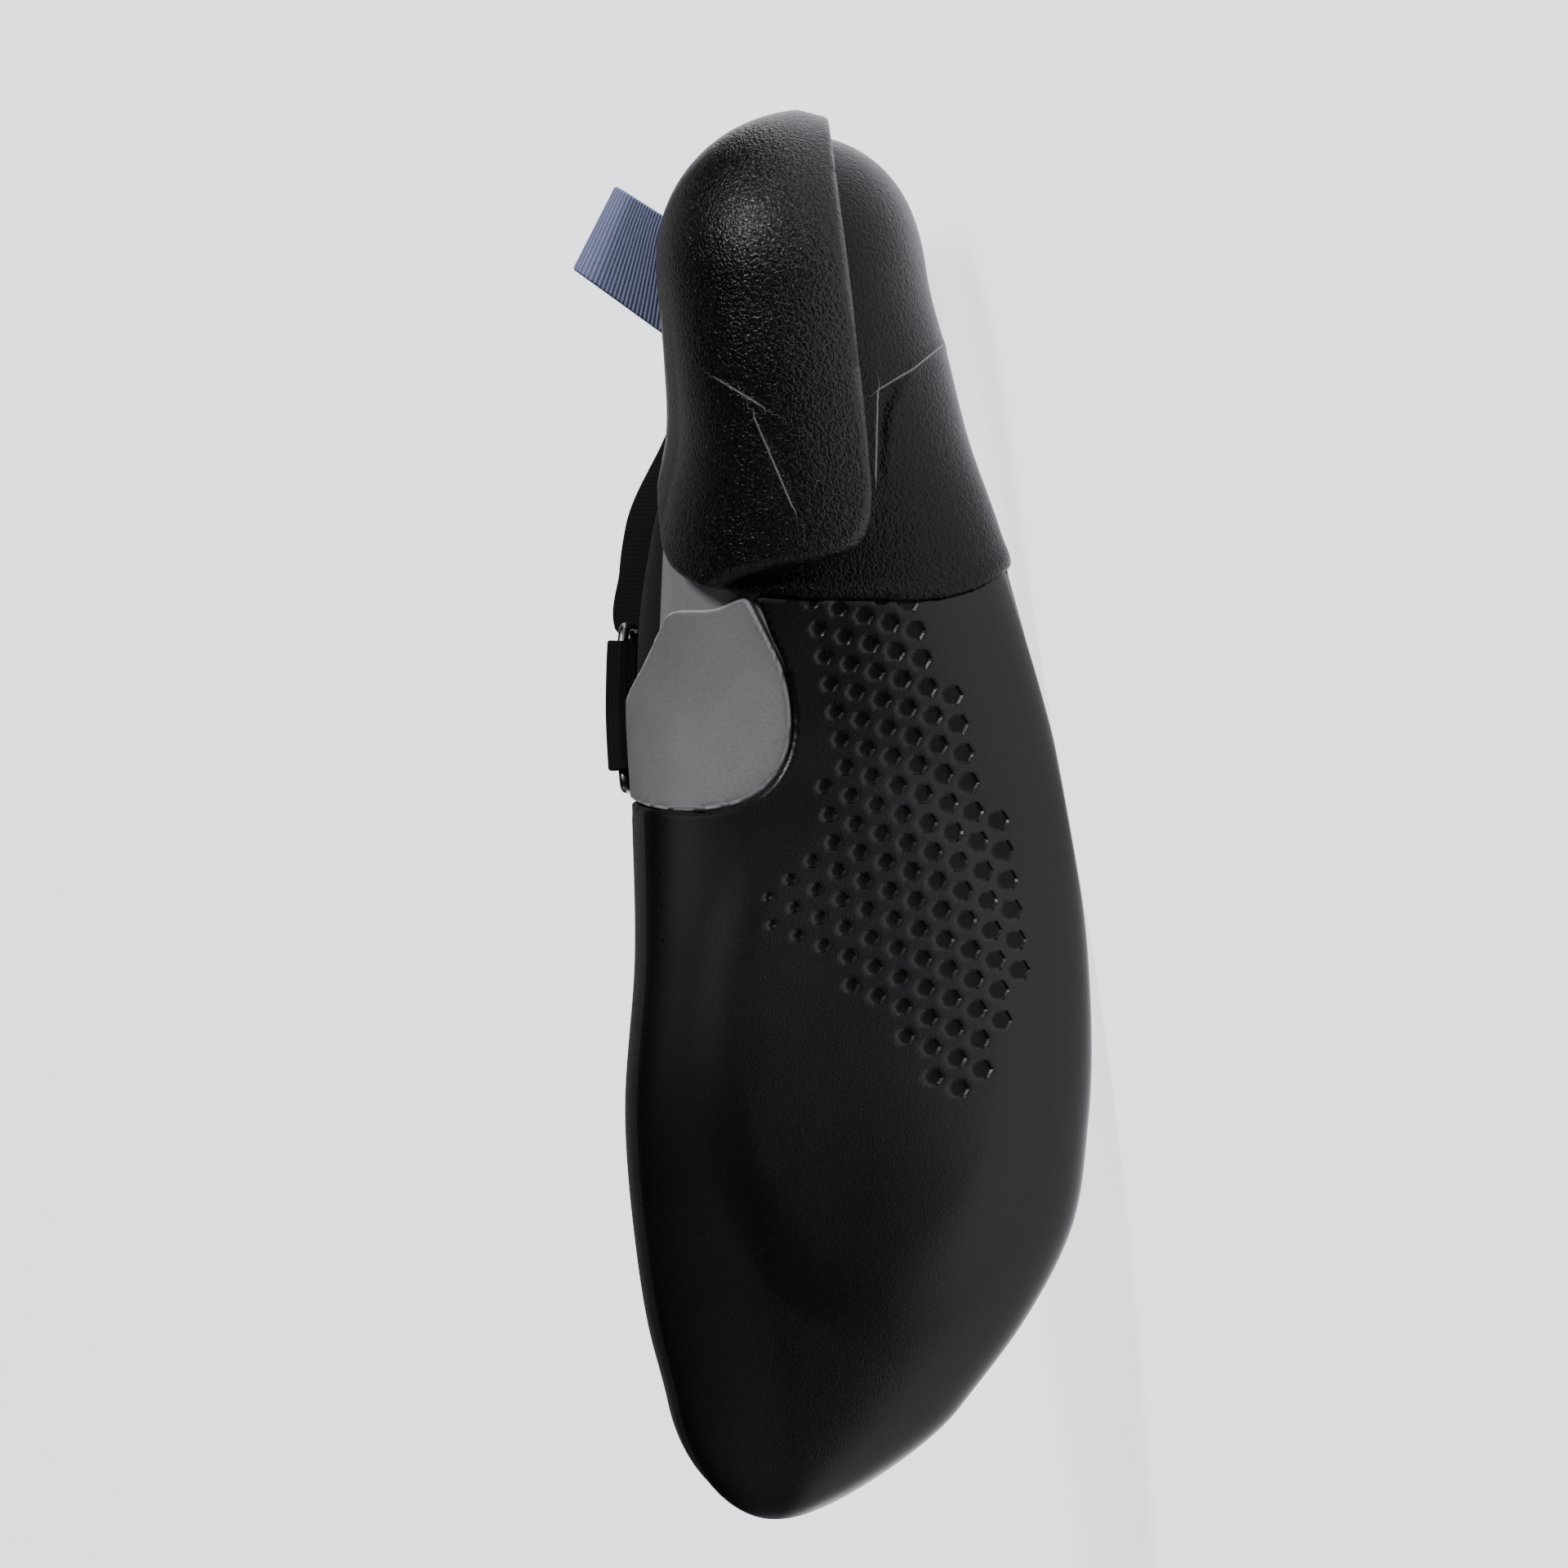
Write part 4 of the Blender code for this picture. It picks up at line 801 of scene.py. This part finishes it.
def sole_dimples(plan):
    """How far plan points lie inside the nearest dimple, by the largest of the distances from its
    three pairs of flats."""
    spots = [(i, j) for j, (a, b) in DIMPLE_ROWS.items() for i in range(a, b + 1)]
    i, j = np.array(spots, float).T
    terms = np.stack([1 + 0 * i, i, j, i * i, i * j, j * j])
    x, y = np.array(DIMPLE_X) @ terms, np.array(DIMPLE_Y) @ terms
    half = np.interp(i, *np.array(DIMPLE_WIDTH).T) / 2
    p = plan.reshape(-1, 2)
    near = np.argmin((p[:, :1] - x) ** 2 + (p[:, 1:] - y) ** 2, axis=1)
    dx, dy = p[:, 0] - x[near], p[:, 1] - y[near]
    flats = np.abs([dx, 0.5 * dx + 0.866 * dy, 0.5 * dx - 0.866 * dy]).max(axis=0)
    return (half[near] - flats).reshape(plan.shape[:-1])


def make_outsole():
    """Half sole between the last and the walking face: stations along, even arcs across, cut out
    at the arch, with dimples let in, a domed pad under the ball and soft edges."""
    x = np.concatenate([np.arange(76.0, 178.0, 0.5),
                        np.arange(178.0, TOE_X - TOE_PLAN_ROUND, 1.0), toe_turn(32)])
    inner, outer = sole_edges(x)
    places = graded(86.0, 0.6)
    x, t, length = even_lines(sole_face, x, outer, inner, places)
    from_inner = (1 - places) * length
    arch = grown(rounded_outline(PANEL_PLAN), GAP)[:PANEL_SOLE_SIDES * PER_SIDE + 1]
    arch = np.concatenate([arch, [(arch[-1, 0], 60.0), (65.0, 60.0), (65.0, arch[0, 1] + 2.0)]])

    def inside(x, t):
        plan = sole_face(x, t)[..., :2]
        return -np.maximum(from_outline(plan, arch), from_outline(plan, HEEL_PLAN))

    x, t, side, cut_edge = trimmed(x, t, inside)
    face, back = sole_face(x, t), body(x, t, GAP)
    plan = face[..., :2]
    inset = sole_dimples(plan)
    sunk = DIMPLE_DEPTH * smooth(inset / DIMPLE_WALL)
    for first, last, place in DOT_ROWS:
        along = (x - first) % DOT_STEP - DOT_STEP / 2
        gap = np.where((x > first) & (x < last), np.hypot(along, from_inner - place), FAR)
        inset = np.maximum(inset, DOT_RADIUS - gap)
    away = np.sum(((plan - DOME_CENTRE) / DOME_HALF) ** 2, axis=-1)
    way = unit(back - face, 1e-6) * (sunk - DOME_RISE * smooth(1.9 * (1 - away)))[..., None]
    edge = np.minimum(places * length, from_inner)
    face = softened(softened(face, back, edge, 0.7), back, cut_edge, 0.35) + way
    made = shell("rubber_half_sole", face, back, [sole_finish], side,
                 fields={"inset": inset, "from_inner": from_inner})
    carried(made, "outsole")


def heel_grid(around):
    """Stations and lines over the heel: even steps of arc round the back, then even steps along."""
    x = np.concatenate([heel_turn(int(1.5 * HEEL_SIDE_ROUND / HEEL_CELL)),
                        np.arange(HEEL_X + HEEL_SIDE_ROUND, 97.0, HEEL_CELL)[1:]])
    return even_lines(body, x, -2, 2, np.linspace(0, 1, around))[:2]


def heel_trim(points, inset=0.0):
    """How far points lie inside the heel cup's top and front edges."""
    top = edge_height(CUP_TOP, points[..., 0]) - points[..., 2]
    front = -from_outline(points[..., :2], rounded_outline(CUP_FRONT + AHEAD))
    return np.minimum(top, front) - inset


def heel_piece(name, face, back, material, side, plan, creases, folds):
    """Moulded piece of the heel, with its distances from the lines along which a grey highlight is
    painted.
    """
    marks = {"crease": near_lines(plan, creases), "fold": near_lines(plan, folds)}
    made = shell(name, face, back, [material], side, wrap=True, fields=marks, crease=85)
    carried(made, "heel_cup")


def make_heel_cup():
    """Moulded cup: the last lifted by the rubber, trimmed at its top and front, with a raised lip
    along the front, and a notch and a raised crease on the outer lobe."""
    x, t = lined_up(*heel_grid(380), lambda x, t: GAP + CUP, LOBE_LINES)
    x, t, side, edge = trimmed(x, t, lambda x, t: heel_trim(body(x, t, GAP)))
    back = body(x, t, GAP)
    plan = body(x, t, GAP + CUP)[..., :2]
    lip = 0.35 * np.exp(-((edge - 1.6) / 1.2) ** 2)
    inset = from_outline(plan, np.array(NOTCH_LEFT + NOTCH_RIGHT[1:-1]))
    left, right = from_path(plan, NOTCH_LEFT), from_path(plan, NOTCH_RIGHT)
    notch = np.where(inset > 0, NOTCH_DEPTH * smooth(left / 0.8) * smooth(right / 2.0), 0)
    crease = 0.25 * np.exp(-(from_path(plan, LOBE_LINES[0]) / 0.9) ** 2)
    face = softened(body(x, t, GAP + CUP + lip + crease - notch), back, edge, 0.45)
    heel_piece("moulded_heel_cup", face, back, cup_finish, side, plan, LOBE_LINES[:2],
               LOBE_LINES[2:])


def make_heel_pad():
    """Raised inner pad on the cup, which ends in the fin: the cup's face lifted inside the pad's
    outline, sunk on one side of each crease, its rim and its outline rounded apart."""
    x, t = heel_grid(340)
    outline = rounded_outline(PAD_PLAN)

    def gaps(x, t):
        plan = body(x, t, GAP + CUP)[..., :2]
        return heel_trim(body(x, t, GAP), 0.05), from_outline(plan, outline)

    def lift(x, t):
        reach = np.abs(np.clip(t, -1.0, 2.0) - 0.2)
        fade = 0.85 * np.clip((t - 0.3) / 0.4, 0, 1) * smooth((x / LENGTH - 0.07) / 0.2)
        rise = PAD_RISE * (1 - 0.28 * reach ** 2) * (1 - fade)
        return GAP + CUP + rise

    x, t = lined_up(x, t, lift, PAD_LINES)
    x, t, side = snapped(x, t, np.minimum(*gaps(x, t)))
    rim, edge = gaps(x, t)
    at_rim = rim < edge
    rim = np.where((side == 0) & at_rim, 0, rim)
    edge = np.where((side == 0) & ~at_rim, 0, edge)
    back = body(x, t, GAP + 0.6 * CUP)
    plan = body(x, t, lift(x, t))[..., :2]
    sunk = 0
    for line in PAD_LINES:
        across, along = from_line(plan, line)
        step = np.where(across < -0.05, PAD_LINE_DEPTH * np.exp(across / 1.6), 0)
        sunk = sunk + step * smooth(along / 0.3) * smooth((1 - along) / 0.3)
    rounding = 0.9 + 2.2 * smooth((x - 66) / 12)
    face = softened(body(x, t, lift(x, t) - sunk), back, edge, rounding)
    face = softened(face, back, rim, 0.45)
    heel_piece("moulded_heel_pad", face, back, pad_finish, side, plan, PAD_LINES[:1], PAD_LINES[1:])


def make_upper():
    """Hollow wall over the whole last, open at the collar and the throat, lined inside."""
    x = np.concatenate([heel_turn(26), np.arange(32.5, 229.0, 1.4), toe_turn(20, 0.05)])
    x, t, _ = even_lines(body, x, 0, 4, np.linspace(0, 1, 190))
    along = np.linspace(0.3 * LENGTH, 0.66 * LENGTH, 40)
    half = THROAT * np.sqrt(1 - np.clip((along / LENGTH - 0.52) / 0.14, 0, 1) ** 2)
    throat = np.concatenate([body(along, 2 - half), body(along, half - 2)[-2::-1]])[:, :2]

    def inside(x, t):
        points = body(x, t)
        rim = edge_height(RIM, points[..., 0]) - points[..., 2]
        slit = -from_outline(points[..., :2], throat)
        return np.minimum(rim, np.where(points[..., 2] > 0.62 * INSTEP_HEIGHT, slit, FAR))

    x, t, side, edge = trimmed(x, t, inside)
    back = body(x, t, -WALL)
    bulge = 1.5 * np.exp(-((x - 68) / 15) ** 2 - ((t - 1.05) / 0.25) ** 2)
    face = softened(body(x, t, bulge), back, edge, 0.7)
    beyond = face[..., 1] - np.interp(x, *np.array(BLACK_SIDE).T)
    beyond = np.maximum(beyond, 40 * (np.minimum(t, 4 - t) - 1.0))
    black = np.minimum(np.minimum(beyond, 124.0 - x), face[..., 1] - 20)
    made = shell("microfibre_upper", face, back, [upper_finish, lining_finish], side, wrap=True,
                 fields={"black_side": black})
    carried(made, "upper")


def make_toe_rand():
    """Thin rubber over the forefoot from one edge of the sole to the other, trimmed along its top
    edge and behind the arch."""
    x = np.concatenate([np.arange(0.29 * LENGTH, TOE_X - TOE_PLAN_ROUND, 0.9), toe_turn(30)])
    inner, outer = sole_edges(x)
    places = graded(118.0, 0.9)
    x, t, length = even_lines(lambda x, t: body(x, t, GAP), x, inner + 0.028, 4 + outer - 0.028,
                              places)
    corner_x, corner_y = np.array(PANEL_TURN).T

    def inside(x, t):
        points = body(x, t, GAP)
        top = edge_height(RAND_TOP, points[..., 0]) - points[..., 2]
        start = points[..., 0] - np.interp(points[..., 1], corner_y, corner_x + 0.6)
        start = np.where(points[..., 1] > 8.0, start, FAR)
        return np.minimum(np.minimum(top, start), -from_outline(points[..., :2], HEEL_PLAN))

    x, t, side, edge = trimmed(x, t, inside)
    edge = np.minimum(np.minimum(places, 1 - places) * length, edge)
    back = body(x, t, GAP)
    face = softened(body(x, t, GAP + RAND), back, edge, 0.5)
    carried(shell("rubber_toe_rand", face, back, [rand_finish], side), "toe_rand")


def make_arch_panel():
    """Suede panel on the last inside its outline, with a cut edge rolled a little."""
    x, t, _ = even_lines(body, np.arange(84.0, 129.0, 0.6), 0, 1, np.linspace(0, 1, 90))
    outline = PANEL_PLAN[:PANEL_SOLE_SIDES] + PANEL_TURN + PANEL_PLAN[-6:] + PANEL_TIP
    outline = rounded_outline(outline)
    x, t, side, edge = trimmed(x, t, lambda x, t: from_outline(body(x, t, GAP)[..., :2], outline))
    back = body(x, t, GAP)
    face = softened(body(x, t, GAP + PANEL), back, edge, 0.5)
    made = shell("suede_arch_panel", face, back, [suede_finish], side, fields={"from_edge": edge})
    carried(made, "arch_panel")


def make_tongue():
    """Padded tongue inside the throat: the last let in by the wall, its edges thinned."""
    x = np.linspace(0.315 * LENGTH, 0.69 * LENGTH, 90)
    places = np.linspace(0, 1, 70)
    x, t, length = even_lines(lambda x, t: body(x, t, -3.0), x, 1.5, 2.5, places)
    edge = np.minimum(np.minimum(places, 1 - places) * length, np.minimum(x - x[0], x[-1] - x))
    face, back = body(x, t, UNDER_WALL), body(x, t, UNDER_WALL - TONGUE)
    made = shell("padded_tongue", *rolled(face, back, edge, 1.4), [tongue_finish])
    carried(made, "tongue")


def make_insole():
    """Board on the floor of the last, from heel to toes."""
    x = np.linspace(0.08 * LENGTH, 0.945 * LENGTH, 150)
    x, t, _ = even_lines(lambda x, t: body(x, t, -3.0), x, -0.58, 0.52, np.linspace(0, 1, 46))
    face, back = body(x, t, UNDER_WALL), body(x, t, UNDER_WALL - INSOLE)
    carried(shell("insole_board", face, back, [board_finish]), "insole")


def make_collar():
    """Padded band on the rim: a capsule section from a low line on the rim to a high line, drawn
    out into a flap at the inner side and a bulge at the outer side, with ribs along it and a cord
    of piping on top."""
    spread = 1 - np.cos(np.linspace(0, math.pi / 2, 170))
    low_line, high_line = [], []
    for inner, front, out, rise in ((True, 0.372, 6.0, 8.0), (False, 0.285, -4.6, 2.0)):
        x = 10.9 + (front * LENGTH - 10.9) * spread
        flare = np.exp(-((x - 56.0) / 10.0) ** 2)
        if inner:
            flare = smooth((x - 44.0) / 30.0) + 0.35 * smooth((x - 82.0) / 10.0)
        rim = body(x, line_at(x, edge_height(RIM, x), inner), -0.5 * WALL)
        low = rim + np.stack([0 * x, 0.2 * out * flare, 0 * x + ROLL_RADIUS - 1.6], axis=-1)
        high = rim + np.stack([0 * x, out * flare, ROLL_RADIUS + 2 * GAP + rise * flare], axis=-1)
        low_line.append(low[::-1] if inner else low[1:])
        high_line.append(high[::-1] if inner else high[1:])
    low, high = np.concatenate(low_line), np.concatenate(high_line)
    run = unit(np.gradient((low + high) / 2, axis=0))
    tall = square_to(high - low + np.array([0, 0, 0.01]), run)
    across = np.cross(run, tall)
    angle = np.radians(np.concatenate([np.linspace(-90, 90, 19), np.linspace(90, 270, 19)]))
    upper_half = (np.arange(len(angle)) < 19)[None, :, None]
    middle = np.where(upper_half, high[:, None], low[:, None])
    turn = angle[None, :, None]
    section = np.cos(turn) * tall[:, None] + np.sin(turn) * across[:, None]
    along = running((low + high) / 2)
    ends = np.clip(np.minimum(along, along[-1] - along) / 1.5, 0, 1)
    ends = np.sqrt(1 - (1 - 0.98 * ends - 0.02) ** 2)
    twist = np.where(low[:, 1] < 6, np.exp(-((low[:, 0] - 56) / 12) ** 2), 0)
    rope = 0.35 * twist[:, None] * np.cos(2 * math.pi * along[:, None] / 3.4 - 2 * angle[None, :])
    rings = middle + ((ROLL_RADIUS + rope) * ends[:, None])[..., None] * section
    turned = running(rings)
    uv = np.stack([np.broadcast_to(along[:, None], turned.shape), turned], axis=-1)
    made = tube("knit_collar", rings, [knit_finish], uv)
    top = high + tall * (ROLL_RADIUS + 0.2) * ends[:, None]
    cord = round_cord(top, tall, across, PIPING_RADIUS, 12)
    carried(tube("collar_piping", cord[4:-4], [piping_finish]), "collar")
    carried(made, "collar")


def hook(line, upwards):
    """Half turn of webbing round a bar at a line: lines and lifts of its two faces."""
    near = WIRE_RADIUS + GAP
    far = near + WEBBING
    middle = GAP + WEBBING + near
    angle = np.linspace(-math.pi / 2, math.pi / 2, 17)
    way = np.cos(angle) * (1 if upwards else -1) * LINE_PER_MM
    return np.stack([line + way * far, middle + far * np.sin(angle),
                     line + way * near, middle + near * np.sin(angle)], axis=1)


def webbing(name, route, centre, half):
    """Webbing whose two faces follow a route of (line, lift) pairs, its edges rolled."""
    across = np.sin(np.linspace(-math.pi / 2, math.pi / 2, 33))[None, :]
    back_t, back_lift, face_t, face_lift = (route[:, k:k + 1] for k in range(4))
    back = body(centre(back_t) + across * half(back_t), back_t, back_lift)
    face = body(centre(face_t) + across * half(face_t), face_t, face_lift)
    width = half(face_t)
    along = running((back[:, 16] + face[:, 16]) / 2)
    edge = (1 - np.abs(across)) * width
    uv = np.stack([across * width, np.broadcast_to(along[:, None], edge.shape)], axis=-1)
    return shell(name, *rolled(face, back, edge, 0.4), [strap_finish], uv=uv)


def make_strap():
    """Strap from its thick outer end over the instep, turned back through the ring."""
    knots = [1.0, 1.3, 2.0, 2.86]
    tail = RING_HIGH + np.linspace(0.26, 0.13, 8)
    t = np.linspace(RING_HIGH + 0.1, knots[-1], 150)
    thick = WEBBING + 2.2 * smooth((t - 2.3) / 0.2)
    route = np.concatenate([
        np.stack([tail, 0 * tail + RING_OUTSIDE, tail, 0 * tail + RING_OUTSIDE - WEBBING], axis=1),
        hook(RING_HIGH, False)[::-1],
        np.stack([t, 0 * t + GAP, t, GAP + thick], axis=1)])
    made = webbing("hook_and_loop_strap", route,
                   lambda t: curve(t, knots, [106.4, 106.0, 99.5, 81.5]),
                   lambda t: curve(t, knots, [12.2, 12.2, 12.5, 8.2]))
    carried(made, "strap")


def make_strap_tab():
    """Short tab folded over the ring's lower bar."""
    sewn = GAP + 2 * WEBBING + 0.1
    down = np.linspace(1.058, 1.012, 9)
    lift = RING_OUTSIDE + (sewn - RING_OUTSIDE) * smooth(np.linspace(0, 1, 9))
    route = np.concatenate([[(1.012, GAP, 1.012, GAP + WEBBING)], hook(RING_LOW, True),
                            np.stack([down, lift, down, lift - WEBBING], axis=1)])
    made = webbing("ring_tab", route, lambda t: 106.0 + 0 * t, lambda t: 11.2 + 0 * t)
    carried(made, "strap_tab")


def make_ring():
    """Oblong of round wire: two bars along the shoe joined by rounded ends, a circle carried
    along the path."""
    lift = GAP + WEBBING + GAP + WIRE_RADIUS
    half_x, half_t = (RING_END - RING_START) / 2, (RING_HIGH - RING_LOW) / 2
    angle = np.linspace(0, 2 * math.pi, 160, endpoint=False)
    cos, sin = np.cos(angle), np.sin(angle)
    x = RING_START + half_x * (1 + np.sign(cos) * np.abs(cos) ** RING_POWER)
    t = RING_LOW + half_t * (1 + np.sign(sin) * np.abs(sin) ** RING_POWER)
    path = body(x, t, lift)
    run = unit(np.roll(path, -1, axis=0) - np.roll(path, 1, axis=0))
    out = square_to(body(x, t, lift + 1.0) - path, run)
    rings = round_cord(path, out, np.cross(run, out), WIRE_RADIUS, 20)
    carried(tube("wire_ring", rings, [ring_finish], closed=True), "ring")


def make_pull_loop():
    """Webbing loop sewn to the inner side of the heel: a sheet from its root to the fold and back,
    with a slim eye at the fold."""
    across = np.linspace(0, 1, 60)
    spread = np.linspace(0, 1, 30)
    turn = np.linspace(0.2, math.pi - 0.2, 25)
    leg = 0.83 * spread
    way = np.concatenate([leg, 0.83 + 0.17 * np.sin(turn), leg[::-1]])
    swell = 0.95 + (LOOP_RISE - 0.95) * spread ** 1.5
    level = np.concatenate([-swell, -LOOP_RISE * np.cos(turn), swell[::-1]])
    x = LOOP_ROOT[0] + (LOOP_ROOT[1] - LOOP_ROOT[0]) * across
    root = body(x, line_at(x, LOOP_Z + 0 * x, True), GAP + 0.2)
    root[:, 2] = LOOP_Z
    start, end = np.array(LOOP_FOLD)
    tip = start + (end - start) * across[:, None]
    tip -= unit(tip - root) * LOOP_THICK / 2
    middle = root + (tip - root) * way[:, None, None]
    middle[..., 2] += level[:, None]
    normal = unit(np.cross(np.gradient(middle, axis=0), np.gradient(middle, axis=1)))
    along, width = running(middle[:, 30]), running(middle)
    edge = np.minimum(width, width[:, -1:] - width)
    uv = np.stack([width, np.broadcast_to(along[:, None], width.shape)], axis=-1)
    face, back = middle - normal * LOOP_THICK / 2, middle + normal * LOOP_THICK / 2
    made = shell("pull_loop_webbing", *rolled(face, back, edge, 0.4), [loop_finish], uv=uv)
    carried(made, "pull_loop")


HEEL_PLAN = grown(rounded_outline(CUP_FRONT + BEHIND), GAP)
for make in (make_upper, make_outsole, make_heel_cup, make_heel_pad, make_toe_rand, make_arch_panel,
             make_tongue, make_insole, make_collar, make_strap, make_strap_tab, make_ring,
             make_pull_loop):
    make()


# Floor, light and camera


def make_floor():
    """Pale seamless floor: one wide plane of white acrylic, lit a little from below so that the
    shoe's own shadow stays faint."""
    half = 12.0
    mesh = bpy.data.meshes.new("floor")
    corners = [(-half, -half, 0), (half, -half, 0), (half, half, 0), (-half, half, 0)]
    mesh.from_pydata(corners, [], [(0, 1, 2, 3)])
    made, tree, shader = finish("lit_acrylic")
    where = add(tree, "TexCoord", out="Object")
    tooth = add(tree, "TexNoise", {"Vector": where, "Scale": 3.0, "Detail": 2.0})
    join(tree, shader, {
        "Roughness": 0.9, "Specular IOR Level": 0.05, "Emission Strength": 1.95,
        "Emission Color": linear("EDF0F7"),
        "Base Color": blended(tree, tooth, "E4E5E9", "E7E8EC")})
    mesh.materials.append(made)
    floor = bpy.data.objects.new("floor", mesh)
    bpy.context.scene.collection.objects.link(floor)


def soft_light(name, place, size, watts):
    """Rectangular soft light at a place, facing the shoe."""
    lamp = bpy.data.lights.new(name, "AREA")
    lamp.shape = "RECTANGLE"
    lamp.size, lamp.size_y = size
    lamp.energy = watts
    made = bpy.data.objects.new(name, lamp)
    made.location = place
    made.rotation_euler = (-Vector(place)).to_track_quat("-Z", "Y").to_euler()
    bpy.context.scene.collection.objects.link(made)


def make_camera():
    """Camera square to the sole, toe down in the picture, so rolled on its side: it looks along
    the shoe's up axis, with the picture's right along the shoe's outer side."""
    frame_width = 277.5
    away = 4500.0
    steps = np.array([(0.0, 0.0, 0.0), (1.0, 0.0, 0.0), (0.0, 1.0, 0.0), (0.0, 0.0, 1.0)])
    places = [laid_down(step + np.array([[120.2, 13.06, 55.0]]))[0] for step in steps]
    centre = places[0]
    down, inner, forward = ((place - centre) * 1000 for place in places[1:])
    centre = centre - forward * 0.035
    place = centre - forward * away * 0.001
    lens = bpy.data.cameras.new("camera")
    lens.sensor_width = 36.0
    lens.lens = 36.0 * away / frame_width
    lens.clip_end = 100.0
    camera = bpy.data.objects.new("camera", lens)
    turn = Matrix((-inner, -down, -forward)).transposed()
    camera.matrix_world = Matrix.Translation(place) @ turn.to_4x4()
    bpy.context.scene.collection.objects.link(camera)
    bpy.context.scene.camera = camera


make_floor()
make_camera()
for softbox in (("heel_softbox", (4.4, -0.6, 3.4), (3.5, 3.5), 38.0),
                ("toe_softbox", (-4.4, -0.6, 3.4), (3.5, 3.5), 40.0),
                ("back_softbox", (0.0, 6.0, 3.0), (6.0, 5.0), 35.0),
                ("key_softbox", (3.7, -2.1, 3.4), (1.3, 1.3), 230.0)):
    soft_light(*softbox)
world = bpy.data.worlds.new("studio")
bpy.context.scene.world = world
world.use_nodes = True
world.node_tree.nodes["Background"].inputs[0].default_value = linear("E6E8EC")
world.node_tree.nodes["Background"].inputs[1].default_value = 0.02
